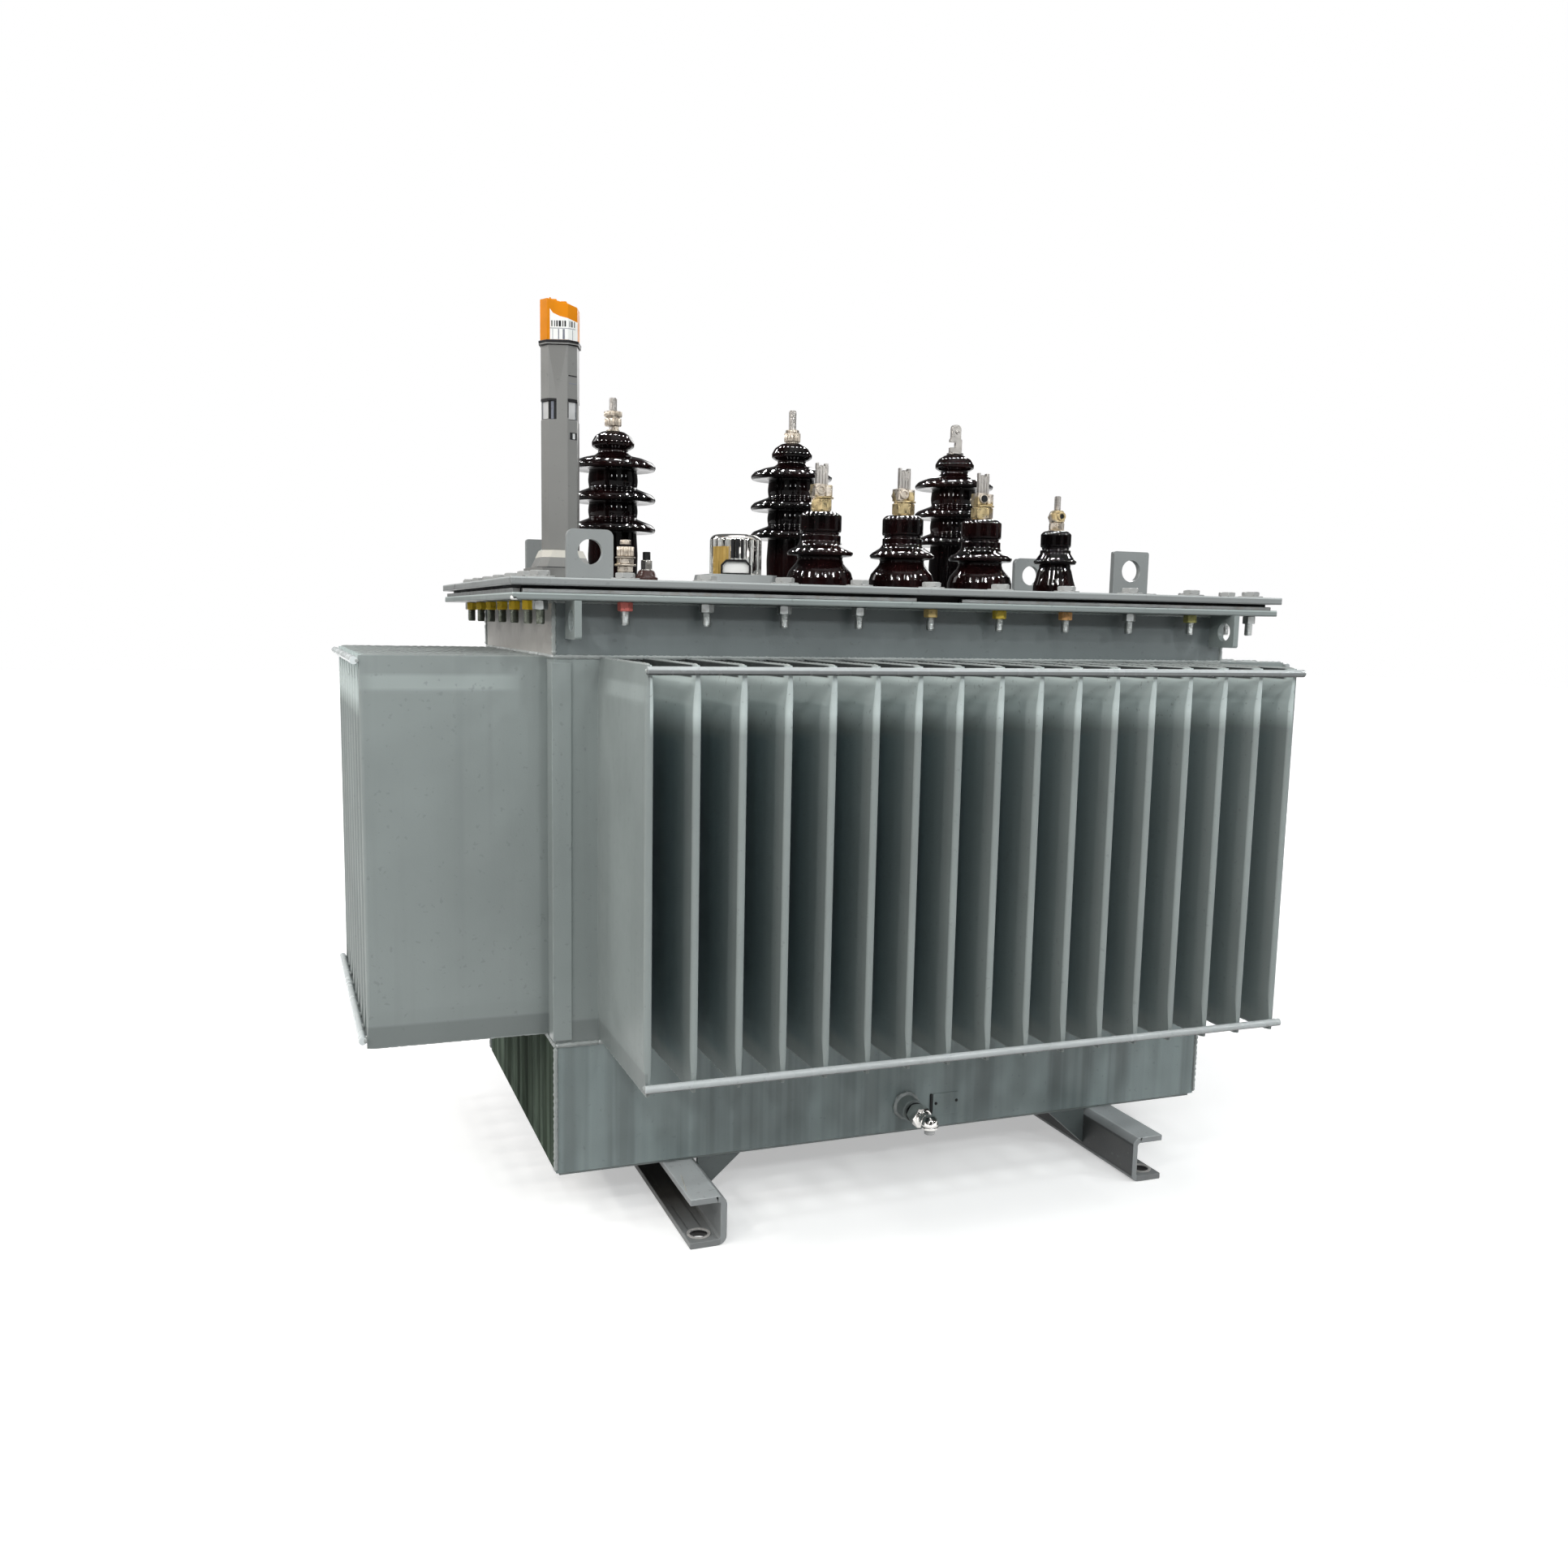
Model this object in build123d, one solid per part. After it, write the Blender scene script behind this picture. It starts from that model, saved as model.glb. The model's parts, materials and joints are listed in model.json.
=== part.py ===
from build123d import *
import math
import os

# Oil-filled distribution transformer with a corrugated tank.
# Sizes are in millimetres. X is the long side, the front is at -Y and the ground is z = 0.

# Tank body
tank_length = 818.0
tank_width = 439.0
plate_thick = 4.0
sheet_thick = 2.0
bottom_thick = 8.0
bottom_drop = 4.0
pan_height = 141.0
sheet_height = 406.0
rim_height = 56.0
seat_gap = 0.3

# Cooling fins
fin_pitch = 45.0
fin_thick = 8.0
fin_depth = 187.0
right_fin_depth = 130.0
fin_end_thick = 3.0
fin_pinch_height = 38.0
fin_bottom_margin = 3.0
fin_top_margin = 1.0
fin_side_margin = 39.0

# Round bars welded across the fin tips
rod_diameter = 8.0
rod_inset_bottom = 9.0
rod_inset_top = 5.0
rod_overrun = 3.0

# Angle posts over the tank corners
post_width = 20.0
post_thick = 3.0
post_end_margin = 6.0

# Feet
foot_height = 54.0
foot_length = 638.0
foot_flange = 40.0
foot_thick = 7.0
foot_bend_radius = 10.0
foot_hole_diameter = 18.0
foot_hole_gauge = 550.0
foot_hole_offset = 25.0
foot_hole_end_inset = 19.0
gusset_length = 50.0
gusset_thick = 6.0
gusset_inset = 4.0

# Flange, gasket and cover
flange_length = 914.0
flange_width = 518.0
flange_thick = 7.0
gasket_setback = 10.0
gasket_band = 36.0
gasket_thick = 7.0
cover_length = 918.0
cover_width = 528.0
cover_thick = 8.0

# Steel strips that stop the cover from crushing the gasket
stop_bar_width = 8.0
stop_bar_thick = 4.0
stop_bar_edge_inset = 1.5
stop_bar_corner_gap = 10.0
stop_bar_joint_x = 4.0
stop_bar_joint_gap = 55.0

# Lifting lugs on the cover
lug_thick = 8.0
lug_width = 51.0
lug_height = 56.0
lug_hole_diameter = 27.0
lug_hole_height = 32.0
lug_round_radius = 8.0
lug_square_radius = 3.0
lug_left_x = -350.0
lug_right_x = 341.0
lug_row_y = 120.0

# Lifting lugs under the flange
side_lug_thick = 7.0
side_lug_reach = 45.0
side_lug_height = 38.0
side_lug_hole_diameter = 22.0
side_lug_hole_drop = 19.5
side_lug_hole_reach = 27.0
side_lug_corner_radius = 3.0
side_lug_x = 394.0

# High-voltage bushings
hv_count = 3
hv_pitch = 240.0
hv_centre_x = -26.0
hv_row_y = 117.0
hv_body_radius = 30.0
hv_foot_radius = 33.0
hv_foot_height = 9.0
hv_shed_radius = 54.0
hv_shed_heights = (71.5, 108.5, 148.0)
hv_shed_lip = 3.0
hv_shed_bow = 7.0
hv_shed_rise = 12.0
hv_hub_radius = 24.0
hv_hub_rise = 17.0
hv_neck_radius = 18.5
hv_cap_radius = 26.5
hv_cap_bottom = 169.5
hv_cap_shoulder = 8.0
hv_cap_steps = 4
hv_height = 192.0
hv_nut_across = 21.0
hv_nut_height = 18.0
hv_stud_diameter = 10.0
hv_stud_height = 24.0
palm_width = 17.0
palm_thick = 6.0
palm_height = 40.0
palm_corner_radius = 7.0
palm_hole_diameter = 7.0
palm_hole_height = 13.0

# Low-voltage bushings
lv_count = 3
lv_pitch = 104.5
lv_first_x = -79.5
lv_row_y = -117.0
lv_height = 86.0
lv_top_radius = 24.0
lv_top_height = 23.0
lv_groove_radius = 21.5
lv_shed_radius = 38.5
lv_waist_radius = 26.0
lv_bell_radius = 38.5
neutral_height = 77.0
neutral_top_radius = 18.5
neutral_top_height = 20.0
neutral_groove_radius = 16.5
neutral_shed_radius = 26.5
neutral_waist_radius = 19.0
neutral_bell_radius = 25.5
shed_height = 40.5
bell_lip_height = 4.0
bell_straight_height = 11.0
bell_shoulder_height = 19.0
bell_shoulder_inset = 2.0
waist_low_height = 30.0
ring_step = 2.0
lv_nut_across = 26.0
lv_nut_height = 15.0
clamp_width = 24.0
clamp_depth = 20.0
clamp_height = 16.5
flag_width = 15.0
flag_thick = 6.0
flag_height = 24.0
neutral_nut_across = 19.0
neutral_nut_height = 24.0
neutral_stud_diameter = 9.0
neutral_stud_height = 18.5

# Oil gauge
gauge_x = -356.5
gauge_y = 0.0
gauge_turn = -19.0
gauge_pad_side = 76.0
gauge_pad_corner = 9.0
gauge_pad_thick = 17.0
gauge_flare_side = 63.0
gauge_flare_top_side = 46.0
gauge_flare_height = 20.0
gauge_side = 41.0
gauge_chamfer = 9.5
gauge_tube_height = 228.0
gauge_ring_height = 4.5
gauge_ring_side = 45.0
gauge_cap_side = 42.0
gauge_cap_height = 46.0
gauge_window_height = 23.0
gauge_window_bottom = 146.0
gauge_window_depth = 2.5
gauge_window_gap = 13.0
gauge_window_shift = 5.0

# Tap changer
tap_x = -160.5
tap_y = -54.0
tap_plate_length = 88.0
tap_plate_width = 78.0
tap_plate_thick = 14.0
tap_plate_taper = 12.0
tap_plate_corner = 12.0
tap_cap_radius = 30.5
tap_cap_height = 46.5
tap_cap_rounding = 8.0
tap_flute_count = 20
tap_flute_radius = 3.4
tap_flute_offset = 1.2
tap_flute_top_margin = 6.0
tap_mouth_width = 35.0
tap_mouth_height = 17.0
tap_mouth_depth = 9.0
tap_mouth_corner = 6.0
tap_mouth_turn = -18.0

# Filler plug
filler_x = -237.0
filler_y = 62.0
filler_radius = 14.0
filler_top_radius = 10.0
filler_height = 20.0
filler_shoulder = 12.0
filler_nut_across = 13.0
filler_nut_height = 13.0
filler_knob_side = 8.0
filler_knob_height = 10.0

# Drain valve
valve_x = 2.0
valve_height_on_pan = 30.0
valve_boss_radius = 13.0
valve_boss_length = 20.0
valve_boss_weld = 3.0
valve_neck_radius = 8.0
valve_neck_length = 27.0
valve_hex_across = 22.0
valve_hex_length = 18.0
valve_elbow_radius = 10.0
valve_elbow_reach = 62.0
valve_elbow_skirt = 5.0
valve_elbow_steps = 4
valve_outlet_radius = 6.0
valve_outlet_drop = 12.0

# Heights worked out from the sizes above
pan_bottom = foot_height + bottom_drop
sheet_bottom = pan_bottom + pan_height
rim_bottom = sheet_bottom + sheet_height
flange_bottom = rim_bottom + rim_height
gasket_bottom = flange_bottom + flange_thick
cover_bottom = gasket_bottom + gasket_thick
cover_top = cover_bottom + cover_thick
fin_height = sheet_height - fin_bottom_margin - fin_top_margin
long_fin_count = int((tank_length - 2 * fin_side_margin) // fin_pitch) + 1
end_fin_count = int((tank_width - 2 * fin_side_margin) // fin_pitch) + 1
foot_web_x = foot_hole_gauge / 2 - foot_hole_offset


def block(length, width, height, x=0.0, y=0.0, z=0.0):
    """A box centred on x and y with its underside at z."""
    return Pos(x, y, z + height / 2) * Box(length, width, height)


def revolved(outline):
    """A solid of revolution about Z from points given as radius and height."""
    return revolve(make_face(Plane.XZ * Polyline(*outline, close=True)), axis=Axis.Z)


def bottom_plate():
    length = tank_length - 2 * plate_thick
    width = tank_width - 2 * plate_thick
    return block(length, width, bottom_thick, z=foot_height)


def wall_plates(height, thick, z):
    """Four plates that close a rectangle: front, rear, left and right."""
    side_width = tank_width - 2 * thick
    offset_y = (tank_width - thick) / 2
    offset_x = (tank_length - thick) / 2
    return {
        "front": block(tank_length, thick, height, y=-offset_y, z=z),
        "rear": block(tank_length, thick, height, y=offset_y, z=z),
        "left": block(thick, side_width, height, x=-offset_x, z=z),
        "right": block(thick, side_width, height, x=offset_x, z=z),
    }


def fin(depth):
    """One cooling fin that reaches towards -Y: full-round tip, pressed flat at both ends."""
    tip = fin_thick / 2
    straight = depth - tip
    plan = Pos(0, -straight / 2) * Rectangle(fin_thick, straight)
    plan += Pos(0, -straight) * Circle(tip)
    upright = extrude(plan, fin_height)
    half_end = fin_end_thick / 2
    half = fin_thick / 2
    top = fin_height
    side_points = [
        (-half_end, 0), (half_end, 0), (half, fin_pinch_height), (half, top - fin_pinch_height),
        (half_end, top), (-half_end, top), (-half, top - fin_pinch_height), (-half, fin_pinch_height),
    ]
    side = make_face(Plane.XZ * Polyline(*side_points, close=True))
    return upright & extrude(side, depth)


def corrugated_wall(length, count, depth):
    """A sheet with its outer face at y = 0 and fins towards -Y, its underside at z = 0."""
    wall = block(length, sheet_thick, sheet_height, y=sheet_thick / 2)
    one_fin = fin(depth)
    first = -(count - 1) / 2 * fin_pitch
    fins = [Pos(first + i * fin_pitch, 0, fin_bottom_margin) * one_fin for i in range(count)]
    return wall + fins


def corrugated_walls():
    long_wall = corrugated_wall(tank_length, long_fin_count, fin_depth)
    end_length = tank_width - 2 * sheet_thick
    left_wall = corrugated_wall(end_length, end_fin_count, fin_depth)
    right_wall = corrugated_wall(end_length, end_fin_count, right_fin_depth)
    half_length = tank_length / 2
    half_width = tank_width / 2
    return {
        "front": Pos(0, -half_width, sheet_bottom) * long_wall,
        "rear": Pos(0, half_width, sheet_bottom) * Rot(0, 0, 180) * long_wall,
        "left": Pos(-half_length, 0, sheet_bottom) * Rot(0, 0, -90) * left_wall,
        "right": Pos(half_length, 0, sheet_bottom) * Rot(0, 0, 90) * right_wall,
    }


def rod_pair(count, tip_distance, overrun_side):
    """Two bars along X across the tips of a row of fins that face -Y."""
    row = (count - 1) * fin_pitch + fin_thick
    length = row + rod_overrun
    y = -(tip_distance + rod_diameter / 2 + seat_gap)
    low = sheet_bottom + fin_bottom_margin + rod_inset_bottom
    high = sheet_bottom + fin_bottom_margin + fin_height - rod_inset_top
    bar = Rot(0, 90, 0) * Cylinder(rod_diameter / 2, length)
    x = overrun_side * rod_overrun / 2
    return [Pos(x, y, low) * bar, Pos(x, y, high) * bar]


def fin_rods():
    rods = []
    for bar in rod_pair(long_fin_count, tank_width / 2 + fin_depth, 1):
        rods += [bar, Rot(0, 0, 180) * bar]
    for bar in rod_pair(end_fin_count, tank_length / 2 + fin_depth, -1):
        rods.append(Rot(0, 0, -90) * bar)
    for bar in rod_pair(end_fin_count, tank_length / 2 + right_fin_depth, 1):
        rods.append(Rot(0, 0, 90) * bar)
    return Compound(children=rods)


def corner_posts():
    """Four angles over the vertical edges of the corrugated walls."""
    x = tank_length / 2
    y = tank_width / 2
    outline = [
        (x + post_thick, y + post_thick), (x + post_thick, y + post_thick - post_width),
        (x, y + post_thick - post_width), (x, y),
        (x + post_thick - post_width, y), (x + post_thick - post_width, y + post_thick),
    ]
    height = sheet_height - 2 * post_end_margin
    angle = extrude(make_face(Polyline(*outline, close=True)), height)
    post = Pos(0, 0, sheet_bottom + post_end_margin) * angle
    posts = [post, Rot(0, 0, 180) * post, mirror(post, Plane.YZ), mirror(post, Plane.XZ)]
    return Compound(children=posts)


def foot():
    """A channel of bent plate along Y, its web towards the middle and its mouth towards +X."""
    web = foot_web_x
    outer = Pos(web + foot_flange / 2, foot_height / 2) * Rectangle(foot_flange, foot_height)
    inside_height = foot_height - 2 * foot_thick
    inner = Pos(web + foot_thick + foot_flange / 2, foot_height / 2) * Rectangle(foot_flange, inside_height)
    outer = fillet(outer.vertices().group_by(Axis.X)[0], foot_bend_radius)
    inner = fillet(inner.vertices().group_by(Axis.X)[0], foot_bend_radius - foot_thick)
    section = Plane.XZ * (outer - inner)
    channel = Pos(0, foot_length / 2, 0) * extrude(section, foot_length)
    hole = Cylinder(foot_hole_diameter / 2, foot_thick * 3)
    hole_y = foot_length / 2 - foot_hole_end_inset
    for y in (-hole_y, hole_y):
        channel -= Pos(foot_hole_gauge / 2, y, foot_thick / 2) * hole
    return channel


def foot_gussets():
    """Four triangles between the foot webs and the bottom plate, two at each side."""
    web = foot_web_x
    outline = [(web, foot_bend_radius), (web, foot_height), (web - gusset_length, foot_height)]
    plate = extrude(make_face(Plane.XZ * Polyline(*outline, close=True)), gusset_thick)
    front_face = tank_width / 2 - gusset_inset
    gusset = Pos(0, gusset_thick - front_face, 0) * plate
    pieces = [gusset, Rot(0, 0, 180) * gusset, mirror(gusset, Plane.YZ), mirror(gusset, Plane.XZ)]
    return Compound(children=pieces)


def frame_ring(length, width, inner_length, inner_width, thick, z):
    ring = block(length, width, thick, z=z)
    return ring - block(inner_length, inner_width, thick * 3, z=z - thick)


def flange():
    inner_length = tank_length - 2 * plate_thick
    inner_width = tank_width - 2 * plate_thick
    return frame_ring(flange_length, flange_width, inner_length, inner_width, flange_thick, flange_bottom)


def gasket():
    length = flange_length - 2 * gasket_setback
    width = flange_width - 2 * gasket_setback
    inner_length = length - 2 * gasket_band
    inner_width = width - 2 * gasket_band
    return frame_ring(length, width, inner_length, inner_width, gasket_thick, gasket_bottom)


def gasket_stop_bars():
    """Strips along the flange's edges, short of its corners; the front and rear ones are in two lengths."""
    z = gasket_bottom
    inset = stop_bar_edge_inset + stop_bar_width / 2
    end_x = flange_length / 2 - stop_bar_corner_gap
    end_y = flange_width / 2 - stop_bar_corner_gap
    joint_left = stop_bar_joint_x - stop_bar_joint_gap / 2
    joint_right = stop_bar_joint_x + stop_bar_joint_gap / 2
    bars = []
    for side in (-1, 1):
        y = side * (flange_width / 2 - inset)
        for start, end in ((-end_x, joint_left), (joint_right, end_x)):
            bars.append(block(end - start, stop_bar_width, stop_bar_thick, x=(start + end) / 2, y=y, z=z))
        x = side * (flange_length / 2 - inset)
        bars.append(block(stop_bar_width, 2 * end_y, stop_bar_thick, x=x, z=z))
    return Compound(children=bars)


def cover():
    return block(cover_length, cover_width, cover_thick, z=cover_bottom)


def cover_lug(x, side, corner_radius):
    """An upright plate on the cover; side is -1 at the front and 1 at the rear."""
    outline = Pos(0, lug_height / 2) * Rectangle(lug_width, lug_height)
    outline = fillet(outline.vertices().group_by(Axis.Y)[-1], corner_radius)
    outline -= Pos(0, lug_hole_height) * Circle(lug_hole_diameter / 2)
    plate = Pos(0, lug_thick / 2, 0) * extrude(Plane.XZ * outline, lug_thick)
    return Pos(x, side * lug_row_y, cover_top) * plate


def side_lugs(side):
    """Two plates under the flange that stand out from the rim wall; side is -1 or 1."""
    outline = Pos(side_lug_reach / 2, -side_lug_height / 2) * Rectangle(side_lug_reach, side_lug_height)
    corner = outline.vertices().sort_by(Axis.X)[-2:].sort_by(Axis.Y)[0]
    outline = fillet(corner, side_lug_corner_radius)
    outline -= Pos(side_lug_hole_reach, -side_lug_hole_drop) * Circle(side_lug_hole_diameter / 2)
    plate = Pos(-side_lug_thick / 2, 0, 0) * extrude(Plane.YZ * outline, side_lug_thick)
    turned = plate if side > 0 else Rot(0, 0, 180) * plate
    y = side * tank_width / 2
    return Compound(children=[Pos(x, y, flange_bottom) * turned for x in (-side_lug_x, side_lug_x)])


def hv_shed(height, next_radius):
    """Outline of one drooping shed, from the body below it to the part above it."""
    middle = (hv_body_radius + hv_shed_radius) / 2
    return [
        (hv_body_radius, height), (hv_shed_radius - hv_shed_lip, height - hv_shed_lip),
        (hv_shed_radius, height), (hv_shed_radius - hv_shed_lip, height + hv_shed_lip),
        (middle, height + hv_shed_bow), (next_radius, height + hv_shed_rise),
    ]


def dome(radius, bottom, top, steps):
    """Quarter ellipse from the full radius at the bottom to the axis at the top."""
    points = []
    for i in range(steps + 1):
        turn = math.radians(90 * i / steps)
        points.append((radius * math.cos(turn), bottom + (top - bottom) * math.sin(turn)))
    points[-1] = (0, top)
    return points


def hv_bushing(x):
    points = [(0, 0), (hv_foot_radius, 0), (hv_foot_radius, hv_foot_height)]
    points.append((hv_body_radius, hv_foot_height + hv_foot_radius - hv_body_radius))
    for height in hv_shed_heights:
        last = height == hv_shed_heights[-1]
        points += hv_shed(height, hv_hub_radius if last else hv_body_radius)
    points.append((hv_neck_radius, hv_shed_heights[-1] + hv_hub_rise))
    points += [(hv_neck_radius, hv_cap_bottom), (hv_cap_radius - ring_step, hv_cap_bottom)]
    points += dome(hv_cap_radius, hv_cap_bottom + hv_cap_shoulder, hv_height, hv_cap_steps)
    return Pos(x, hv_row_y, cover_top) * revolved(points)


def hv_stud_terminal(x):
    nut = extrude(RegularPolygon(hv_nut_across / 2, 6, major_radius=False), hv_nut_height)
    stud = Pos(0, 0, hv_nut_height + hv_stud_height / 2) * Cylinder(hv_stud_diameter / 2, hv_stud_height)
    return Pos(x, hv_row_y, cover_top + hv_height) * (nut + stud)


def hv_palm_terminal(x):
    outline = Pos(0, palm_height / 2) * Rectangle(palm_width, palm_height)
    outline = fillet(outline.vertices().group_by(Axis.Y)[-1], palm_corner_radius)
    outline -= Pos(0, palm_hole_height) * Circle(palm_hole_diameter / 2)
    plate = Pos(0, palm_thick / 2, 0) * extrude(Plane.XZ * outline, palm_thick)
    return Pos(x, hv_row_y, cover_top + hv_height) * plate


def lv_bushing(x, height, top_radius, top_height, groove, shed, waist, bell):
    """A low bushing: a bell foot, a waist, one shed, a groove and a plain round head."""
    head = height - top_height
    ring = (shed_height + head) / 2
    points = [
        (0, 0), (bell - bell_lip_height / 2, 0), (bell, bell_lip_height), (bell, bell_straight_height),
        (bell - bell_shoulder_inset, bell_shoulder_height),
        (waist, waist_low_height), (waist, shed_height - bell_lip_height),
        (shed - ring_step, shed_height - bell_lip_height), (shed, shed_height),
        (groove + ring_step, ring), (groove + ring_step, head - bell_lip_height), (groove, head - ring_step),
        (groove, head), (top_radius, head), (top_radius, height - ring_step),
        (top_radius - ring_step, height), (0, height),
    ]
    return Pos(x, lv_row_y, cover_top) * revolved(points)


def lv_flag_terminal(x):
    nut = extrude(RegularPolygon(lv_nut_across / 2, 6, major_radius=False), lv_nut_height)
    clamp = block(clamp_width, clamp_depth, clamp_height, z=lv_nut_height)
    flag = block(flag_width, flag_thick, flag_height, z=lv_nut_height + clamp_height)
    return Pos(x, lv_row_y, cover_top + lv_height) * (nut + clamp + flag)


def neutral_terminal(x):
    nut = extrude(RegularPolygon(neutral_nut_across / 2, 6, major_radius=False), neutral_nut_height)
    stud = Cylinder(neutral_stud_diameter / 2, neutral_stud_height)
    stud = Pos(0, 0, neutral_nut_height + neutral_stud_height / 2) * stud
    return Pos(x, lv_row_y, cover_top + neutral_height) * (nut + stud)


def chamfered_square(side, corner):
    return chamfer(Rectangle(side, side).vertices(), corner)


def gauge_level(height, turn=0.0):
    return Pos(gauge_x, gauge_y, cover_top + height) * Rot(0, 0, turn)


def gauge_base():
    """A square pad with a flare that narrows to the tube."""
    pad = extrude(chamfered_square(gauge_pad_side, gauge_pad_corner), gauge_pad_thick)
    bottom = Pos(0, 0, gauge_pad_thick) * chamfered_square(gauge_flare_side, gauge_pad_corner)
    flare_top = gauge_pad_thick + gauge_flare_height
    top = Pos(0, 0, flare_top) * chamfered_square(gauge_flare_top_side, gauge_pad_corner)
    return gauge_level(0) * (pad + loft([bottom, top]))


def gauge_windows():
    """Shallow recesses round the four corners of the tube, as one cutting shape."""
    inner_side = gauge_side - 2 * gauge_window_depth
    outside = block(gauge_pad_side, gauge_pad_side, gauge_window_height)
    outside -= extrude(chamfered_square(inner_side, gauge_chamfer), gauge_window_height)
    outside -= block(gauge_window_gap, gauge_pad_side, gauge_window_height, x=gauge_window_shift)
    return outside - block(gauge_pad_side, gauge_window_gap, gauge_window_height)


def gauge_tube():
    tube = extrude(chamfered_square(gauge_side, gauge_chamfer), gauge_tube_height)
    ring = extrude(chamfered_square(gauge_ring_side, gauge_chamfer), gauge_ring_height)
    tube -= Pos(0, 0, gauge_window_bottom) * gauge_windows()
    bottom = gauge_pad_thick + gauge_flare_height
    return gauge_level(bottom, gauge_turn) * (tube + Pos(0, 0, gauge_tube_height) * ring)


def gauge_cap():
    cap = extrude(chamfered_square(gauge_cap_side, gauge_chamfer), gauge_cap_height)
    bottom = gauge_pad_thick + gauge_flare_height + gauge_tube_height + gauge_ring_height
    return gauge_level(bottom, gauge_turn) * cap


def tap_plate():
    outline = fillet(Rectangle(tap_plate_length, tap_plate_width).vertices(), tap_plate_corner)
    plate = extrude(outline, tap_plate_thick, taper=tap_plate_taper)
    return Pos(tap_x, tap_y, cover_top) * plate


def tap_cap():
    """Round cap with a rounded top edge, finger flutes and a low mouth at the front."""
    cap = Pos(0, 0, tap_cap_height / 2) * Cylinder(tap_cap_radius, tap_cap_height)
    cap = fillet(cap.edges().group_by(Axis.Z)[-1], tap_cap_rounding)
    flute_places = PolarLocations(tap_cap_radius + tap_flute_offset, tap_flute_count)
    flutes = Sketch() + flute_places * Circle(tap_flute_radius)
    cap -= extrude(flutes, tap_cap_height - tap_flute_top_margin)
    mouth = Pos(0, tap_mouth_height / 2) * Rectangle(tap_mouth_width, tap_mouth_height)
    mouth = chamfer(mouth.vertices().group_by(Axis.Y)[-1], tap_mouth_corner)
    cap -= Pos(0, tap_mouth_depth - tap_cap_radius, 0) * extrude(Plane.XZ * mouth, 2 * tap_mouth_depth)
    return Pos(tap_x, tap_y, cover_top + tap_plate_thick) * Rot(0, 0, tap_mouth_turn) * cap


def filler_plug():
    points = [
        (0, 0), (filler_radius, 0), (filler_radius, filler_shoulder), (filler_top_radius, filler_height),
        (0, filler_height),
    ]
    nut = extrude(RegularPolygon(filler_nut_across / 2, 6, major_radius=False), filler_nut_height)
    knob = block(filler_knob_side, filler_knob_side, filler_knob_height, z=filler_nut_height)
    return Pos(filler_x, filler_y, cover_top) * (revolved(points) + Pos(0, 0, filler_height) * (nut + knob))


def drain_valve():
    """A boss on the front pan wall, a hexagon body and a round elbow that ends in a downward outlet."""
    boss_end = valve_boss_length
    points = [
        (0, 0), (valve_boss_radius + valve_boss_weld, 0), (valve_boss_radius, valve_boss_weld),
        (valve_boss_radius, boss_end), (valve_neck_radius, boss_end), (valve_neck_radius, valve_elbow_reach),
        (0, valve_elbow_reach),
    ]
    hexagon = RegularPolygon(valve_hex_across / 2, 6, major_radius=False)
    body = revolved(points) + Pos(0, 0, valve_neck_length) * extrude(hexagon, valve_hex_length)
    elbow = [
        (0, -valve_outlet_drop), (valve_outlet_radius, -valve_outlet_drop),
        (valve_outlet_radius, -valve_elbow_skirt), (valve_elbow_radius, -valve_elbow_skirt),
    ]
    elbow += dome(valve_elbow_radius, 0, valve_elbow_radius, valve_elbow_steps)
    valve = Rot(90, 0, 0) * body + Pos(0, -valve_elbow_reach, 0) * revolved(elbow)
    return Pos(valve_x, -tank_width / 2, pan_bottom + valve_height_on_pan) * valve


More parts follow.
